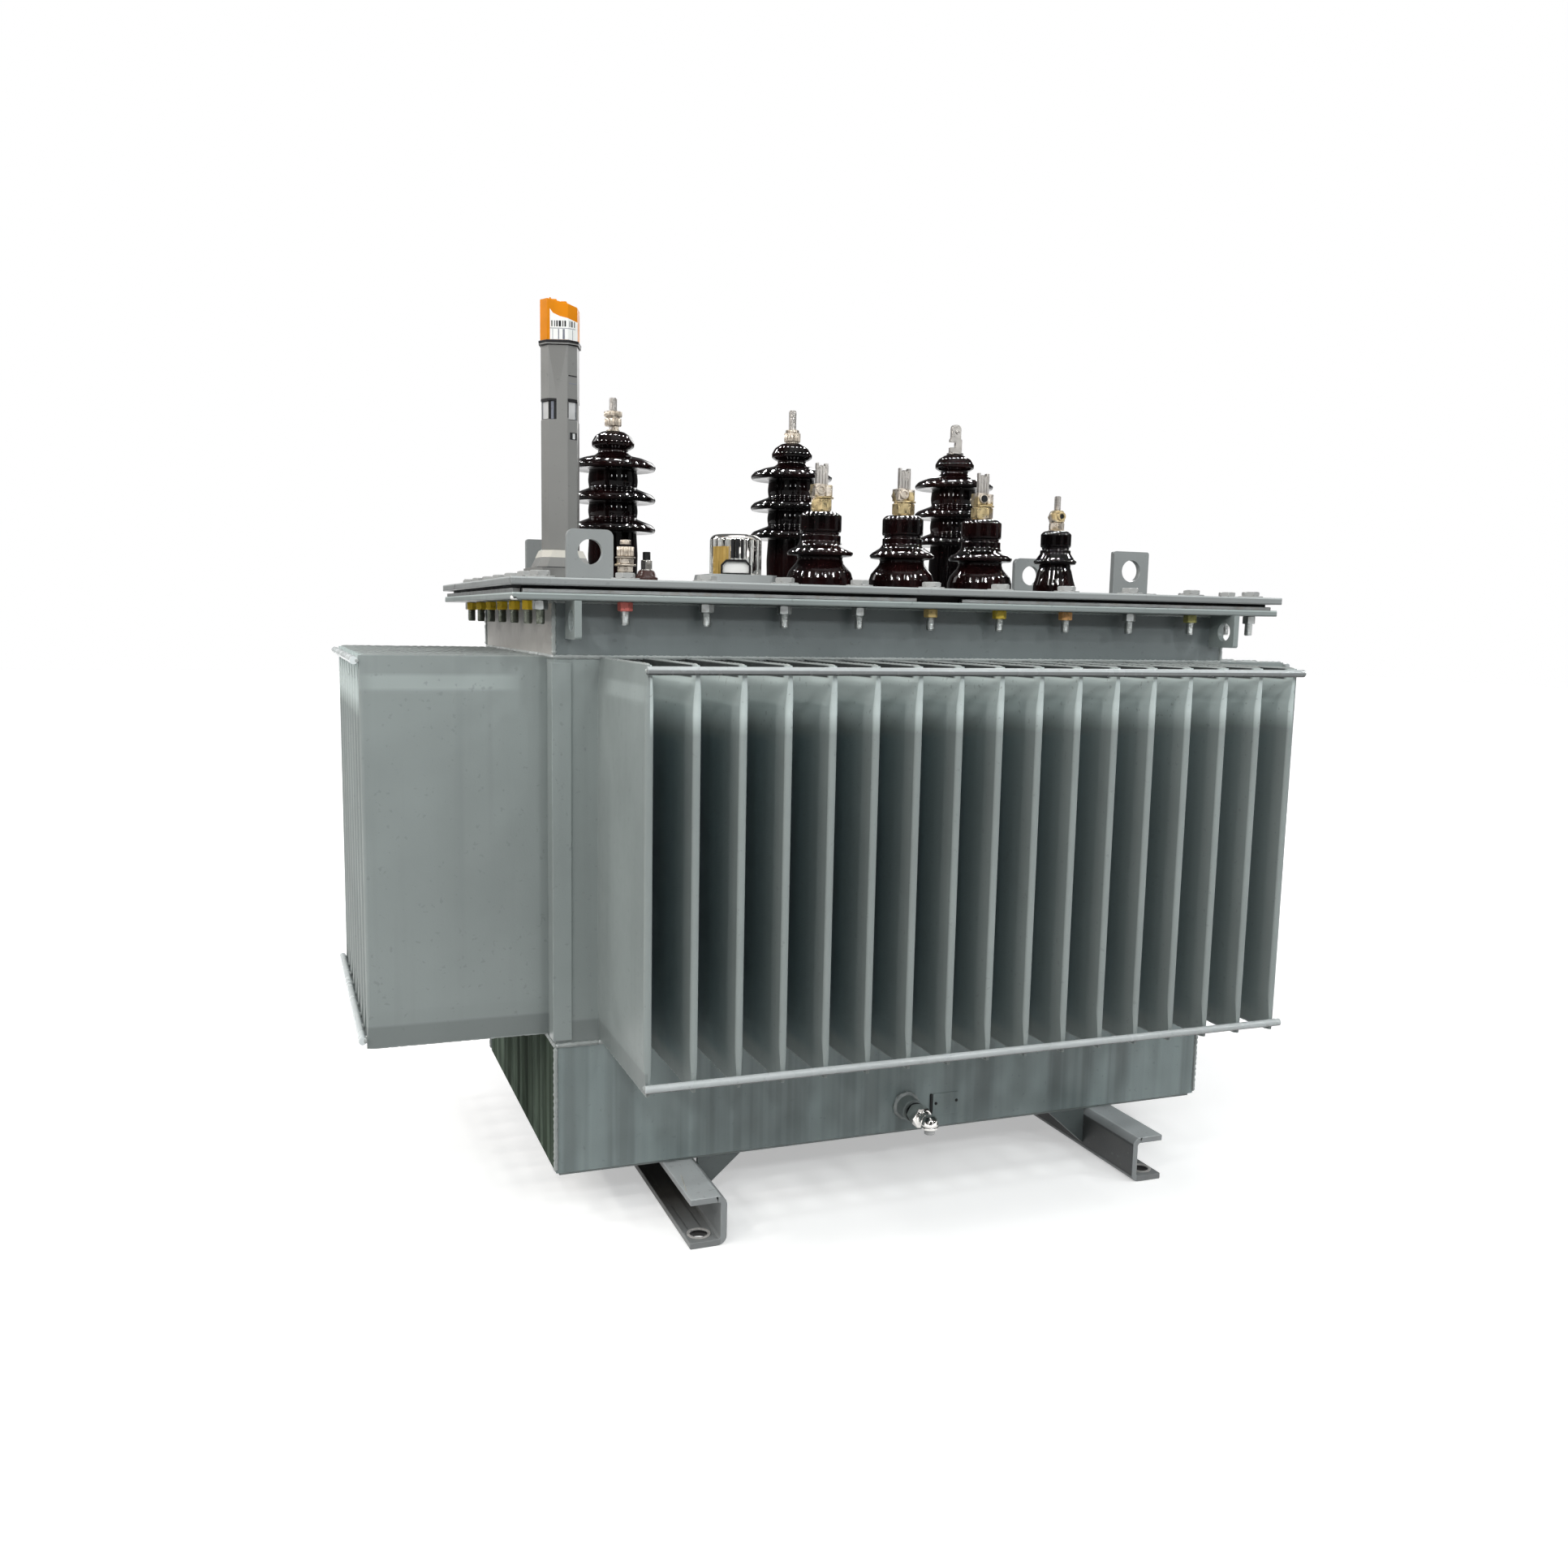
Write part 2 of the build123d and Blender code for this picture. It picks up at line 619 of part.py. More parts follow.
def all_nodes():
    nodes = {"bottom_plate": bottom_plate()}
    for side, plate in wall_plates(pan_height, plate_thick, pan_bottom).items():
        nodes["pan_wall_" + side] = plate
    for side, wall in corrugated_walls().items():
        nodes["corrugated_wall_" + side] = wall
    for side, plate in wall_plates(rim_height, plate_thick, rim_bottom).items():
        nodes["rim_wall_" + side] = plate
    nodes["fin_rods"] = fin_rods()
    nodes["corner_posts"] = corner_posts()
    right_foot = foot()
    nodes["foot_right"] = right_foot
    nodes["foot_left"] = Rot(0, 0, 180) * right_foot
    nodes["foot_gussets"] = foot_gussets()
    nodes["tank_flange"] = flange()
    nodes["cover_gasket"] = gasket()
    nodes["gasket_stop_bars"] = gasket_stop_bars()
    nodes["cover"] = cover()
    nodes["cover_lug_front_left"] = cover_lug(lug_left_x, -1, lug_round_radius)
    nodes["cover_lug_front_right"] = cover_lug(lug_right_x, -1, lug_square_radius)
    nodes["cover_lug_rear_left"] = cover_lug(lug_left_x, 1, lug_square_radius)
    nodes["cover_lug_rear_right"] = cover_lug(lug_right_x, 1, lug_round_radius)
    nodes["tank_lugs_front"] = side_lugs(-1)
    nodes["tank_lugs_rear"] = side_lugs(1)
    for i in range(hv_count):
        x = hv_centre_x + (i - (hv_count - 1) / 2) * hv_pitch
        nodes[f"hv_bushing_{i + 1}"] = hv_bushing(x)
        last = i == hv_count - 1
        nodes[f"hv_terminal_{i + 1}"] = hv_palm_terminal(x) if last else hv_stud_terminal(x)
    for i in range(lv_count):
        x = lv_first_x + i * lv_pitch
        nodes[f"lv_bushing_{i + 1}"] = lv_bushing(
            x, lv_height, lv_top_radius, lv_top_height, lv_groove_radius,
            lv_shed_radius, lv_waist_radius, lv_bell_radius)
        nodes[f"lv_terminal_{i + 1}"] = lv_flag_terminal(x)
    x = lv_first_x + lv_count * lv_pitch
    nodes["neutral_bushing"] = lv_bushing(
        x, neutral_height, neutral_top_radius, neutral_top_height, neutral_groove_radius,
        neutral_shed_radius, neutral_waist_radius, neutral_bell_radius)
    nodes["neutral_terminal"] = neutral_terminal(x)
    nodes["gauge_base"] = gauge_base()
    nodes["gauge_tube"] = gauge_tube()
    nodes["gauge_cap"] = gauge_cap()
    nodes["tap_changer_plate"] = tap_plate()
    nodes["tap_changer_cap"] = tap_cap()
    nodes["filler_plug"] = filler_plug()
    nodes["drain_valve"] = drain_valve()
    return nodes


os.makedirs("parts", exist_ok=True)
for name, shape in all_nodes().items():
    export_step(shape, f"parts/{name}.step")
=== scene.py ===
import json
import math
import random

import bmesh
import bpy
from mathutils import Matrix, Vector

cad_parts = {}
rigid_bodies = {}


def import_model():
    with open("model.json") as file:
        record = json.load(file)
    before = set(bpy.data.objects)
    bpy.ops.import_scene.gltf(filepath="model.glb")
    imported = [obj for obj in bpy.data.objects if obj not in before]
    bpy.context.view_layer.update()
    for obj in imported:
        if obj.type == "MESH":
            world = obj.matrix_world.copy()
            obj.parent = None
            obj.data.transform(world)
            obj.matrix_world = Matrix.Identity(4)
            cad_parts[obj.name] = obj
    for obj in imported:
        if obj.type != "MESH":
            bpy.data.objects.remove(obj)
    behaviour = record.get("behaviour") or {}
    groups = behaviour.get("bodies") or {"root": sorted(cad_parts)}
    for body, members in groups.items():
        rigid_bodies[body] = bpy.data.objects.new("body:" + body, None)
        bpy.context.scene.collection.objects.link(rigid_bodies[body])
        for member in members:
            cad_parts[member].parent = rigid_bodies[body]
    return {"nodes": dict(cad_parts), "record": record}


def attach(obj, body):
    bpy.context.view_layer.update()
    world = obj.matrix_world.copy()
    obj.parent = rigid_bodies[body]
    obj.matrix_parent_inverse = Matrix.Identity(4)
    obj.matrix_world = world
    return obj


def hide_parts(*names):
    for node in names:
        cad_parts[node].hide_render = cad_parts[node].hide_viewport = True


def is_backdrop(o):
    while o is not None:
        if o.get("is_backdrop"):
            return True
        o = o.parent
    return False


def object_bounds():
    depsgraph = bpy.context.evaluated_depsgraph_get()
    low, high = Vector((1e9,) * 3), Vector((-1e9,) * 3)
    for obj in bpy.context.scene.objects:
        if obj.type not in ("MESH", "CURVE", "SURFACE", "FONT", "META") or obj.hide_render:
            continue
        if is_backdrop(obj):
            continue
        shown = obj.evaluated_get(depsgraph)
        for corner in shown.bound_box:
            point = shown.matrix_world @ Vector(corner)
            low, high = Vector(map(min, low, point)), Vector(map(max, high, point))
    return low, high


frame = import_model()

cadLow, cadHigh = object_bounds()
print("frame loaded:", len(frame["nodes"]), "nodes")

# The camera that the photograph was taken with, in metres and degrees
cameraView = {
    "place": (-0.6823, -1.5810, 0.6457),
    "turn": -20.792,
    "tilt": -7.921,
    "roll": 1.077,
    "focalPixels": 1665.05,
    "middle": (957.5, 995.7),
    "picture": (1932, 1923),
    "sensor": 36.0,
    "clip": (0.05, 60),
}


def newObject(name, data):
    item = bpy.data.objects.new(name, data)
    bpy.context.scene.collection.objects.link(item)
    return item


def makeCamera(view):
    turn, tilt, roll = (math.radians(view[key]) for key in ("turn", "tilt", "roll"))
    ahead = Vector((-math.sin(turn) * math.cos(tilt), math.cos(turn) * math.cos(tilt), math.sin(tilt)))
    right = Vector((math.cos(turn), math.sin(turn), 0))
    up = right.cross(ahead)
    rolledRight = right * math.cos(roll) + up * math.sin(roll)
    rolledUp = up * math.cos(roll) - right * math.sin(roll)
    data = bpy.data.cameras.new("photoCamera")
    camera = newObject("photoCamera", data)
    columns = (rolledRight, rolledUp, -ahead)
    camera.matrix_world = Matrix.Translation(view["place"]) @ Matrix(columns).transposed().to_4x4()
    wide, high = view["picture"]
    data.sensor_width = view["sensor"]
    data.lens = view["focalPixels"] / wide * view["sensor"]
    data.shift_x = (wide / 2 - view["middle"][0]) / wide
    data.shift_y = (view["middle"][1] - high / 2) / wide
    data.clip_start, data.clip_end = view["clip"]
    bpy.context.scene.camera = camera


makeCamera(cameraView)
print("camera set")


def feed(kit, node, inputs):
    for key, value in inputs.items() if isinstance(inputs, dict) else enumerate(inputs):
        if isinstance(value, bpy.types.NodeSocket):
            kit["tree"].links.new(value, node.inputs[key])
        else:
            node.inputs[key].default_value = value
    return node


def added(kit, kind, inputs=(), **settings):
    node = kit["tree"].nodes.new("ShaderNode" + kind)
    for name, value in settings.items():
        setattr(node, name, value)
    return feed(kit, node, inputs)


def computed(kit, operation, first, second=0.0):
    return added(kit, "Math", (first, second), operation=operation).outputs[0]


def times(kit, *factors):
    product = factors[0]
    for factor in factors[1:]:
        product = computed(kit, "MULTIPLY", product, factor)
    return product


def ranged(kit, value, low, high, first=0, second=1):
    return added(kit, "MapRange", (value, low, high, first, second)).outputs[0]


def band(kit, value, low, high, soft):
    return times(kit, ranged(kit, value, low - soft, low), ranged(kit, value, high, high + soft, 1, 0))


def blended(kit, share, first, second):
    first, second = (part if isinstance(part, bpy.types.NodeSocket) else (*part, 1) for part in (first, second))
    return added(kit, "Mix", {0: share, 6: first, 7: second}, data_type="RGBA").outputs[2]


def axes(kit, vector):
    return added(kit, "SeparateXYZ", (vector,)).outputs


def kitOf(finish):
    kit = {"finish": finish, "tree": finish.node_tree, "shader": finish.node_tree.nodes["Principled BSDF"]}
    kit["coords"] = added(kit, "TexCoord").outputs["Object"]
    return kit


def newFinish(name):
    finish = bpy.data.materials.new(name)
    finish.use_nodes = True
    return kitOf(finish)


studio = {
    "floorSize": 14.0,
    "floorColour": (0.8, 0.8, 0.8),
    "floorBounce": (0.34, 0.34, 0.34),
    "floorGlow": (0.42, 1.0),
    "glowFrom": 1.2,
    "glowTo": 3.0,
    "paperRough": 0.95,
    "skyStrength": 0.3,
    "stripCount": 6.0,
    "stripEdge": (0.1, 0.4),
    "stripDark": 0.03,
    "panel": 0.62,
    "ceiling": (0.62, 0.75),
    "behind": (1.5, 1.8),
    "farSide": 0.14,
    "lampRows": ((1.5, (-102, -77, -52, -27, -2, 23, 48)), (2.45, (-90, -64, -38, -12, 14, 40, 66))),
    "lampDistance": 2.4,
    "lampAim": (0, 0, 0.6),
    "lampSize": 0.15,
    "lampPower": 5.9,
    "leftTurn": -45,
    "leftShare": 1.3,
    "warm": (1, 0.975, 0.94),
    "cool": (0.97, 1, 1),
    # Place, aim, size and power of the three large lamps
    "largeLamps": {
        "backLeftLamp": ((-2.1, 2.4, 2.3), (0, 0, 0.4), 1.5, 36.0),
        "backRightLamp": ((2.0, 2.5, 2.1), (0, 0, 0.4), 1.5, 36.0),
        "topLamp": ((0, -0.3, 3.3), (0, 0, 0.6), 1.8, 13.0),
    },
}
white = (1, 1, 1, 1)


def rayShare(kit, *kinds):
    path = added(kit, "LightPath")
    share = path.outputs[kinds[0]]
    for kind in kinds[1:]:
        share = computed(kit, "MAXIMUM", share, path.outputs[kind])
    return share


def makeFloor(style):
    mesh = bpy.data.meshes.new("floor")
    half = style["floorSize"]
    mesh.from_pydata([(-half, -half, 0), (half, -half, 0), (half, half, 0), (-half, half, 0)], [], [(0, 1, 2, 3)])
    floor = newObject("floor", mesh)
    floor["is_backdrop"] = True
    kit = newFinish("floorPaper")
    distance = added(kit, "VectorMath", (kit["coords"],), operation="LENGTH")
    glow = ranged(kit, distance.outputs["Value"], style["glowFrom"], style["glowTo"], *style["floorGlow"])
    seen = rayShare(kit, "Is Camera Ray", "Is Glossy Ray", "Is Transmission Ray")
    feed(kit, kit["shader"], {
        "Base Color": blended(kit, rayShare(kit, "Is Diffuse Ray"), style["floorColour"], style["floorBounce"]),
        "Roughness": style["paperRough"],
        "Emission Color": white,
        "Emission Strength": times(kit, glow, seen),
    })
    mesh.materials.append(kit["finish"])


def makeSky(style):
    world = bpy.data.worlds.new("studioWorld")
    bpy.context.scene.world = world
    world.use_nodes = True
    kit = {"tree": world.node_tree}
    sky = feed(kit, world.node_tree.nodes["Background"], {"Color": white, "Strength": style["skyStrength"]})
    # Gloss shows the white room with dark flags between its panels
    x, y, z = axes(kit, added(kit, "TexCoord").outputs["Generated"])
    turn = computed(kit, "ARCTAN2", x, times(kit, y, -1.0))
    wave = computed(kit, "SINE", times(kit, turn, style["stripCount"]))
    strips = ranged(kit, wave, *style["stripEdge"], style["stripDark"], style["panel"])
    level = computed(kit, "MAXIMUM", strips, ranged(kit, z, *style["ceiling"]))
    away = ranged(kit, computed(kit, "ABSOLUTE", turn), *style["behind"])
    room = added(kit, "Background", {"Color": blended(kit, away, level, (style["farSide"],) * 3)})
    paper = added(kit, "Background", {"Color": white})
    result = sky.outputs[0]
    for kinds, background in ((("Is Glossy Ray",), room), (("Is Camera Ray", "Is Transmission Ray"), paper)):
        result = added(kit, "MixShader", (rayShare(kit, *kinds), result, background.outputs[0])).outputs[0]
    feed(kit, world.node_tree.nodes["World Output"], {"Surface": result})


def areaLamp(name, place, target, size, power, colour=(1, 1, 1)):
    data = bpy.data.lights.new(name, "AREA")
    data.shape = "RECTANGLE"
    data.size, data.size_y = size
    data.energy = power
    data.color = colour
    lamp = newObject(name, data)
    lamp.location = place
    lamp.rotation_mode = "QUATERNION"
    lamp.rotation_quaternion = (Vector(target) - Vector(place)).to_track_quat("-Z", "Y")
    return lamp


def makeLamps(style):
    side, away = style["lampSize"], style["lampDistance"]
    for row, (height, turns) in enumerate(style["lampRows"]):
        for k, degrees in enumerate(turns):
            turn = math.radians(degrees)
            place = (away * math.sin(turn), -away * math.cos(turn), height)
            share, tone = (style["leftShare"], "warm") if degrees < style["leftTurn"] else (1, "cool")
            power = style["lampPower"] * share
            areaLamp(f"roomLamp{row}{k}", place, style["lampAim"], (side, side), power, style[tone])
    for name, (place, aim, size, power) in style["largeLamps"].items():
        areaLamp(name, place, aim, (size, size), power)


makeFloor(studio)
makeSky(studio)
makeLamps(studio)
print("studio lit")


def noiseField(kit, scale, detail=2.0, stretch=None):
    source = kit["coords"]
    if stretch:
        source = added(kit, "Mapping", {"Scale": stretch, "Vector": source}).outputs["Vector"]
    return added(kit, "TexNoise", {"Scale": scale, "Detail": detail, "Vector": source}).outputs[0]


def patches(kit, scale, detail, low, high, first=0, second=1, stretch=None):
    # Noise that goes from first, where it is below low, to second, above high
    return ranged(kit, noiseField(kit, scale, detail, stretch), low, high, first, second)


def bumped(kit, height, strength, distance, under=None):
    node = added(kit, "Bump", {"Strength": strength, "Distance": distance, "Height": height})
    if under:
        feed(kit, node, {"Normal": under})
    return node.outputs["Normal"]


def edgeShare(kit, radius, bends=(0.72, 0.97)):
    bevel = added(kit, "Bevel", {"Radius": radius}, samples=4)
    surface = added(kit, "NewGeometry").outputs["Normal"]
    along = added(kit, "VectorMath", (bevel.outputs[0], surface), operation="DOT_PRODUCT")
    return ranged(kit, along.outputs["Value"], *bends, 1, 0)


def scaled(colour, factor):
    return tuple(min(1.0, part * factor) for part in colour)


def tinted(kit, base, colour, *layers):
    # Each layer has its share of the surface and its lightness against the colour
    for share, factor in layers:
        base = blended(kit, share, base, scaled(colour, factor))
    return base


def finished(kit, base, rough, normal, extra=()):
    feed(kit, kit["shader"], {"Base Color": base, "Roughness": rough, "Normal": normal, **dict(extra)})
    return kit["finish"]


def paintFinish(name, colour, gloss=0.36, variation=0.1, streaks=0.3, wearAndSheen=0.45, peel=0.25, shade=None, extra=()):
    kit = newFinish(name)
    base = blended(kit, patches(kit, 5, 4, 0.3, 0.7), scaled(colour, 1 - variation), scaled(colour, 1 + variation))
    base = tinted(kit, base, colour, (patches(kit, 1, 3, 0.52, 0.78, 0, streaks, (55, 55, 2.5)), 0.72))
    if shade:
        base = shade(kit, base, colour)
    speck = patches(kit, 160, 2, 0.66, 0.72, 0, 0.35)
    # Edges lighter: partly worn paint, partly a painted highlight along the edges
    wornAndLitEdges = times(kit, edgeShare(kit, 0.0016), patches(kit, 90, 3, 0.35, 0.6, 0.25, 1), wearAndSheen)
    base = tinted(kit, base, colour, (speck, 0.6), (wornAndLitEdges, 2.1))
    rough = patches(kit, 26, 3, 0.3, 0.7, gloss - 0.07, gloss + 0.1)
    skin = bumped(kit, noiseField(kit, 520), peel, 0.0004)
    return finished(kit, base, rough, bumped(kit, noiseField(kit, 14), 0.25, 0.002, skin), extra)


def metalFinish(name, colour, gloss=0.3, tarnish=None, share=0.3, grain=0.3, grainScale=420, second=None):
    kit = newFinish(name)
    base = blended(kit, patches(kit, 60, 4, 0.3, 0.7), scaled(colour, 0.82), scaled(colour, 1.12))
    if second:
        base = blended(kit, patches(kit, 38, 1, 0.46, 0.54), base, second)
    base = blended(kit, patches(kit, 150, 4, 0.5, 0.68, 0, share), base, tarnish or scaled(colour, 0.35))
    base = tinted(kit, base, colour, (times(kit, edgeShare(kit, 0.0007), 0.5), 1.6))
    rough = patches(kit, 190, 3, 0.3, 0.7, gloss - 0.04, gloss + 0.12)
    normal = bumped(kit, noiseField(kit, grainScale, 3), grain, 0.0003)
    return finished(kit, base, rough, normal, {"Metallic": 1.0})


def glazeFinish(name, dark, brown, gloss=0.05):
    kit = newFinish(name)
    base = blended(kit, patches(kit, 16, 4, 0.42, 0.74), dark, brown)
    base = tinted(kit, base, brown, (patches(kit, 420, 1, 0.7, 0.74, 0, 0.5), 3))
    rough = patches(kit, 70, 2, 0.3, 0.7, gloss, gloss + 0.04)
    return finished(kit, base, rough, bumped(kit, noiseField(kit, 90, 1), 0.22, 0.001), {"IOR": 1.2})


def mouldedFinish(name, colour, gloss=0.34, deep=0.8, grain=0.2, shine=0.5):
    kit = newFinish(name)
    base = blended(kit, patches(kit, 32, 3, 0.3, 0.7), scaled(colour, deep), scaled(colour, 1.08))
    base = tinted(kit, base, colour, (times(kit, edgeShare(kit, 0.0012), 0.4), 1.7))
    rough = patches(kit, 60, 3, 0.3, 0.7, gloss - 0.06, gloss + 0.08)
    return finished(kit, base, rough, bumped(kit, noiseField(kit, 900), grain, 0.0002), {"Specular IOR Level": shine})


# Where the cooling fins get painted shade between each other towards their roots, painted light above it and a painted
# highlight at their pressed tops, in metres
finTone = {
    "shadeFrom": 0.012,
    "shadeTo": 0.07,
    "shadeLow": 0.215,
    "shadeHigh": 0.529,
    "shadeSoft": 0.01,
    "outerSoft": 0.0003,
    "dark": (0.68, 0.8, 0.85),
    "lit": 2.1,
    "crown": (0.593, 0.6034, 0.0012),
    "crownFade": (0.016, 0.01),
    "crownTint": 0.1,
    "hem": (0.223, 0.226),
    "hemShare": 0.75,
    "hemTint": 0.66,
    "shine": (0.572, 0.583, 0.004),
    "shineFromRoot": 0.046,
    "shineToTip": 0.016,
    "shineSoft": 0.022,
    "shineShare": 0.55,
    "shineTint": 1.55,
}


def finShade(style, alongY, root, tip, outerFin):
    def shade(kit, base, colour):
        x, y, z = axes(kit, kit["coords"])
        reach = computed(kit, "ABSOLUTE", y if alongY else x)
        side = computed(kit, "ABSOLUTE", x if alongY else y)
        top, soft, edge = style["shadeHigh"], style["shadeSoft"], style["outerSoft"]
        # Painted shade, cool in tone, deep between the fins below their tops
        deep = ranged(kit, reach, tip - style["shadeTo"], tip - style["shadeFrom"], 1, 0)
        between = ranged(kit, side, outerFin - edge, outerFin + edge, 1, 0)
        tall = band(kit, z, style["shadeLow"] + soft, top, soft)
        cool = tuple(part * share for part, share in zip(colour, style["dark"]))
        base = blended(kit, times(kit, deep, between, tall), base, cool)
        # Painted light on the fins above that shade
        over = times(kit, ranged(kit, z, top + soft, top + 3 * soft), between)
        # Painted shade in the gaps just under the fins' top edge
        inside = ranged(kit, reach, *(tip - fade for fade in style["crownFade"]), 1, 0)
        crown = times(kit, band(kit, z, *style["crown"]), between, inside)
        # The outer faces darker towards the bottom, along the hem
        outside = computed(kit, "SUBTRACT", 1.0, between)
        hem = times(kit, ranged(kit, z, *style["hem"], 1, 0), outside, style["hemShare"])
        # A painted highlight on a band across the pressed tops
        middle = band(kit, reach, root + style["shineFromRoot"], tip - style["shineToTip"], style["shineSoft"])
        shine = times(kit, band(kit, z, *style["shine"]), middle, style["shineShare"])
        return tinted(kit, base, colour, (over, style["lit"]), (crown, style["crownTint"]),
                      (hem, style["hemTint"]), (shine, style["shineTint"]))
    return shade


def edgeLines(low, high):
    # A painted highlight along a plate's upper arris and painted shade along its lower one
    def shade(kit, base, colour):
        z = axes(kit, kit["coords"])[2]
        return tinted(kit, base, colour, (band(kit, z, high - 0.0016, high - 0.0003, 0.0003), 1.75),
                      (ranged(kit, z, low + 0.0012, low + 0.0018, 0.8, 0), 0.4))
    return shade


# Darker and lighter vertical streaks on the pan: partly stains, partly painted reflections
def panShade(kit, base, colour):
    return tinted(kit, base, colour, (patches(kit, 1, 2, 0.44, 0.56, 0, 0.75, (30, 30, 0.9)), 0.62),
                  (patches(kit, 1, 2, 0.45, 0.62, 0, 0.4, (95, 95, 1.4)), 1.25))


# Dark vertical streaks on the pan's end walls: partly stains, partly painted shade
def panEndStainsAndShade(kit, base, colour):
    return blended(kit, patches(kit, 1, 3, 0.42, 0.6, 0, 0.74, (34, 34, 1.6)), base, (0.014, 0.021, 0.013))


# The fin rods' levels, the reach of the front ones and the near face of the left ones, in metres, for painted shade on
# the lower side of the front and rear rods and under them, and a painted highlight on the left ones
rodTone = {
    "reach": (0.406, 0.4062),
    "side": (0.58, 0.5994, 0.0006),
    "under": ((0.58, 0.5964, 0.0006), (0.19, 0.2082, 0.0008)),
    "leftFace": (-0.596, -0.5955),
}


def rodShade(kit, base, colour):
    x, y, z = axes(kit, kit["coords"])
    ends = ranged(kit, computed(kit, "ABSOLUTE", y), *rodTone["reach"])
    under = computed(kit, "MAXIMUM", *(band(kit, z, *span) for span in rodTone["under"]))
    return tinted(kit, base, colour, (times(kit, ends, band(kit, z, *rodTone["side"])), 0.42),
                  (ranged(kit, x, *rodTone["leftFace"], 1, 0), 1.6), (times(kit, under, ends), 0.14))


# The channel feet's brown primer inside with painted shade under the tank, painted shade behind, a painted highlight
# on their top and painted shade in their bolt holes, in metres
footTone = {
    "insideTop": (0.0466, 0.0472),
    "insideSide": (0.2568, 0.2574),
    "insideShadeReach": (0.2, 0.3, 0.93, 0.3),
    "insidePrimerAndShade": (0.03, 0.024, 0.018),
    "backSide": (0.2502, 0.2506),
    "backTop": (0.052, 0.0525),
    "backShare": 0.95,
    "upperFace": (0.0532, 0.0537, 0, 0.9),
    "hole": (0.275, 0.3),
    "bore": (0.0092, 0.0094),
    "boreTop": (0.008, 0.009),
    "boreShade": (0.004, 0.004, 0.004),
}


def footShade(kit, base, colour):
    x, y, z = axes(kit, kit["coords"])
    side, reach = (computed(kit, "ABSOLUTE", part) for part in (x, y))
    # Brown primer inside the channels, darkened towards the middle under the tank as painted shade
    inside = times(kit, ranged(kit, z, *footTone["insideTop"], 1, 0), ranged(kit, side, *footTone["insideSide"]))
    primerAndShade = times(kit, inside, ranged(kit, reach, *footTone["insideShadeReach"]))
    base = blended(kit, primerAndShade, base, footTone["insidePrimerAndShade"])
    # Painted shade on the webs' faces towards the tank's middle, and below, a painted highlight on the feet's upper
    # face
    back = times(kit, ranged(kit, side, *footTone["backSide"], 1, 0), ranged(kit, z, *footTone["backTop"], 1, 0),
                 footTone["backShare"])
    base = tinted(kit, base, colour, (back, 0.16), (ranged(kit, z, *footTone["upperFace"]), 1.75))
    # Painted shade inside the bolt holes
    across, along = (computed(kit, "SUBTRACT", part, hole) for part, hole in zip((side, reach), footTone["hole"]))
    away = computed(kit, "SQRT", computed(kit, "ADD", times(kit, across, across), times(kit, along, along)))
    bore = times(kit, ranged(kit, away, *footTone["bore"], 1, 0), ranged(kit, z, *footTone["boreTop"], 1, 0))
    return blended(kit, bore, base, footTone["boreShade"])


tankColour = (0.25, 0.283, 0.278)
nickelColour = (0.88, 0.86, 0.83)
finishes = {
    "tank_paint": paintFinish("tankPaint", tankColour),
    "rod_paint": paintFinish("rodPaint", (0.44, 0.47, 0.475), gloss=0.24, wearAndSheen=0.4, shade=rodShade),
    "cover_paint": paintFinish("coverPaint", (0.255, 0.27, 0.27), 0.34, streaks=0.1, shade=edgeLines(0.675, 0.683)),
    "gauge_paint": paintFinish("gaugePaint", (0.19, 0.19, 0.183), streaks=0.15),
    "gauge_orange": mouldedFinish("gaugeOrange", (0.72, 0.235, 0.001), 0.4, 0.86, 0.2, 0.1),
    "porcelain": glazeFinish("brownGlaze", (0.0022, 0.0016, 0.0018), (0.012, 0.003, 0.003)),
    "stud_metal": metalFinish("tinnedCopper", (0.37, 0.35, 0.33), share=0.12, grain=0.06),
    "brass": metalFinish("paleBrass", (0.62, 0.49, 0.27), 0.26, (0.1, 0.065, 0.035), 0.4, 0.1,
                         second=(0.68, 0.61, 0.53)),
    "bright_metal": metalFinish("nickelPlate", nickelColour, 0.05, share=0.05, grain=0.04),
    "plug_brown": mouldedFinish("brownMoulding", (0.06, 0.024, 0.02), 0.24),
    "gasket": mouldedFinish("blackRubber", (0.006, 0.006, 0.006), 0.6, 0.7, 0.5, 0.2),
    "bar_steel": metalFinish("stripSteel", (0.26, 0.27, 0.27), 0.4, (0.2, 0.15, 0.1), 0.25),
}
# Whether the fins stand out along y, their root and tip, and where the outermost fins are, in metres
finWalls = {
    "front": (True, 0.2195, 0.4065, 0.36),
    "rear": (True, 0.2195, 0.4065, 0.36),
    "left": (False, 0.409, 0.596, 0.18),
    "right": (False, 0.409, 0.539, 0.18),
}
panFinish = paintFinish("panPaint", (0.235, 0.285, 0.285), streaks=0.15, shade=panShade)
# The pan's end walls are darker than the tank paint as painted shade under the end fins
panEndFinish = paintFinish("panEndPaint", (0.125, 0.162, 0.128), wearAndSheen=0.2, shade=panEndStainsAndShade,
                           extra={"Specular IOR Level": 0.03, "IOR": 1.03})
# The rim walls darker than the tank paint as painted shade under the cover's overhang
rimFinish = paintFinish("rimPaint", (0.16, 0.185, 0.188), streaks=0.12)
# The rim's end walls painted lighter than the front and rear ones as painted light
rimEndFinish = paintFinish("rimEndPaint", (0.39, 0.38, 0.36), streaks=0.12)
footFinish = paintFinish("footPaint", (0.27, 0.285, 0.29), shade=footShade)
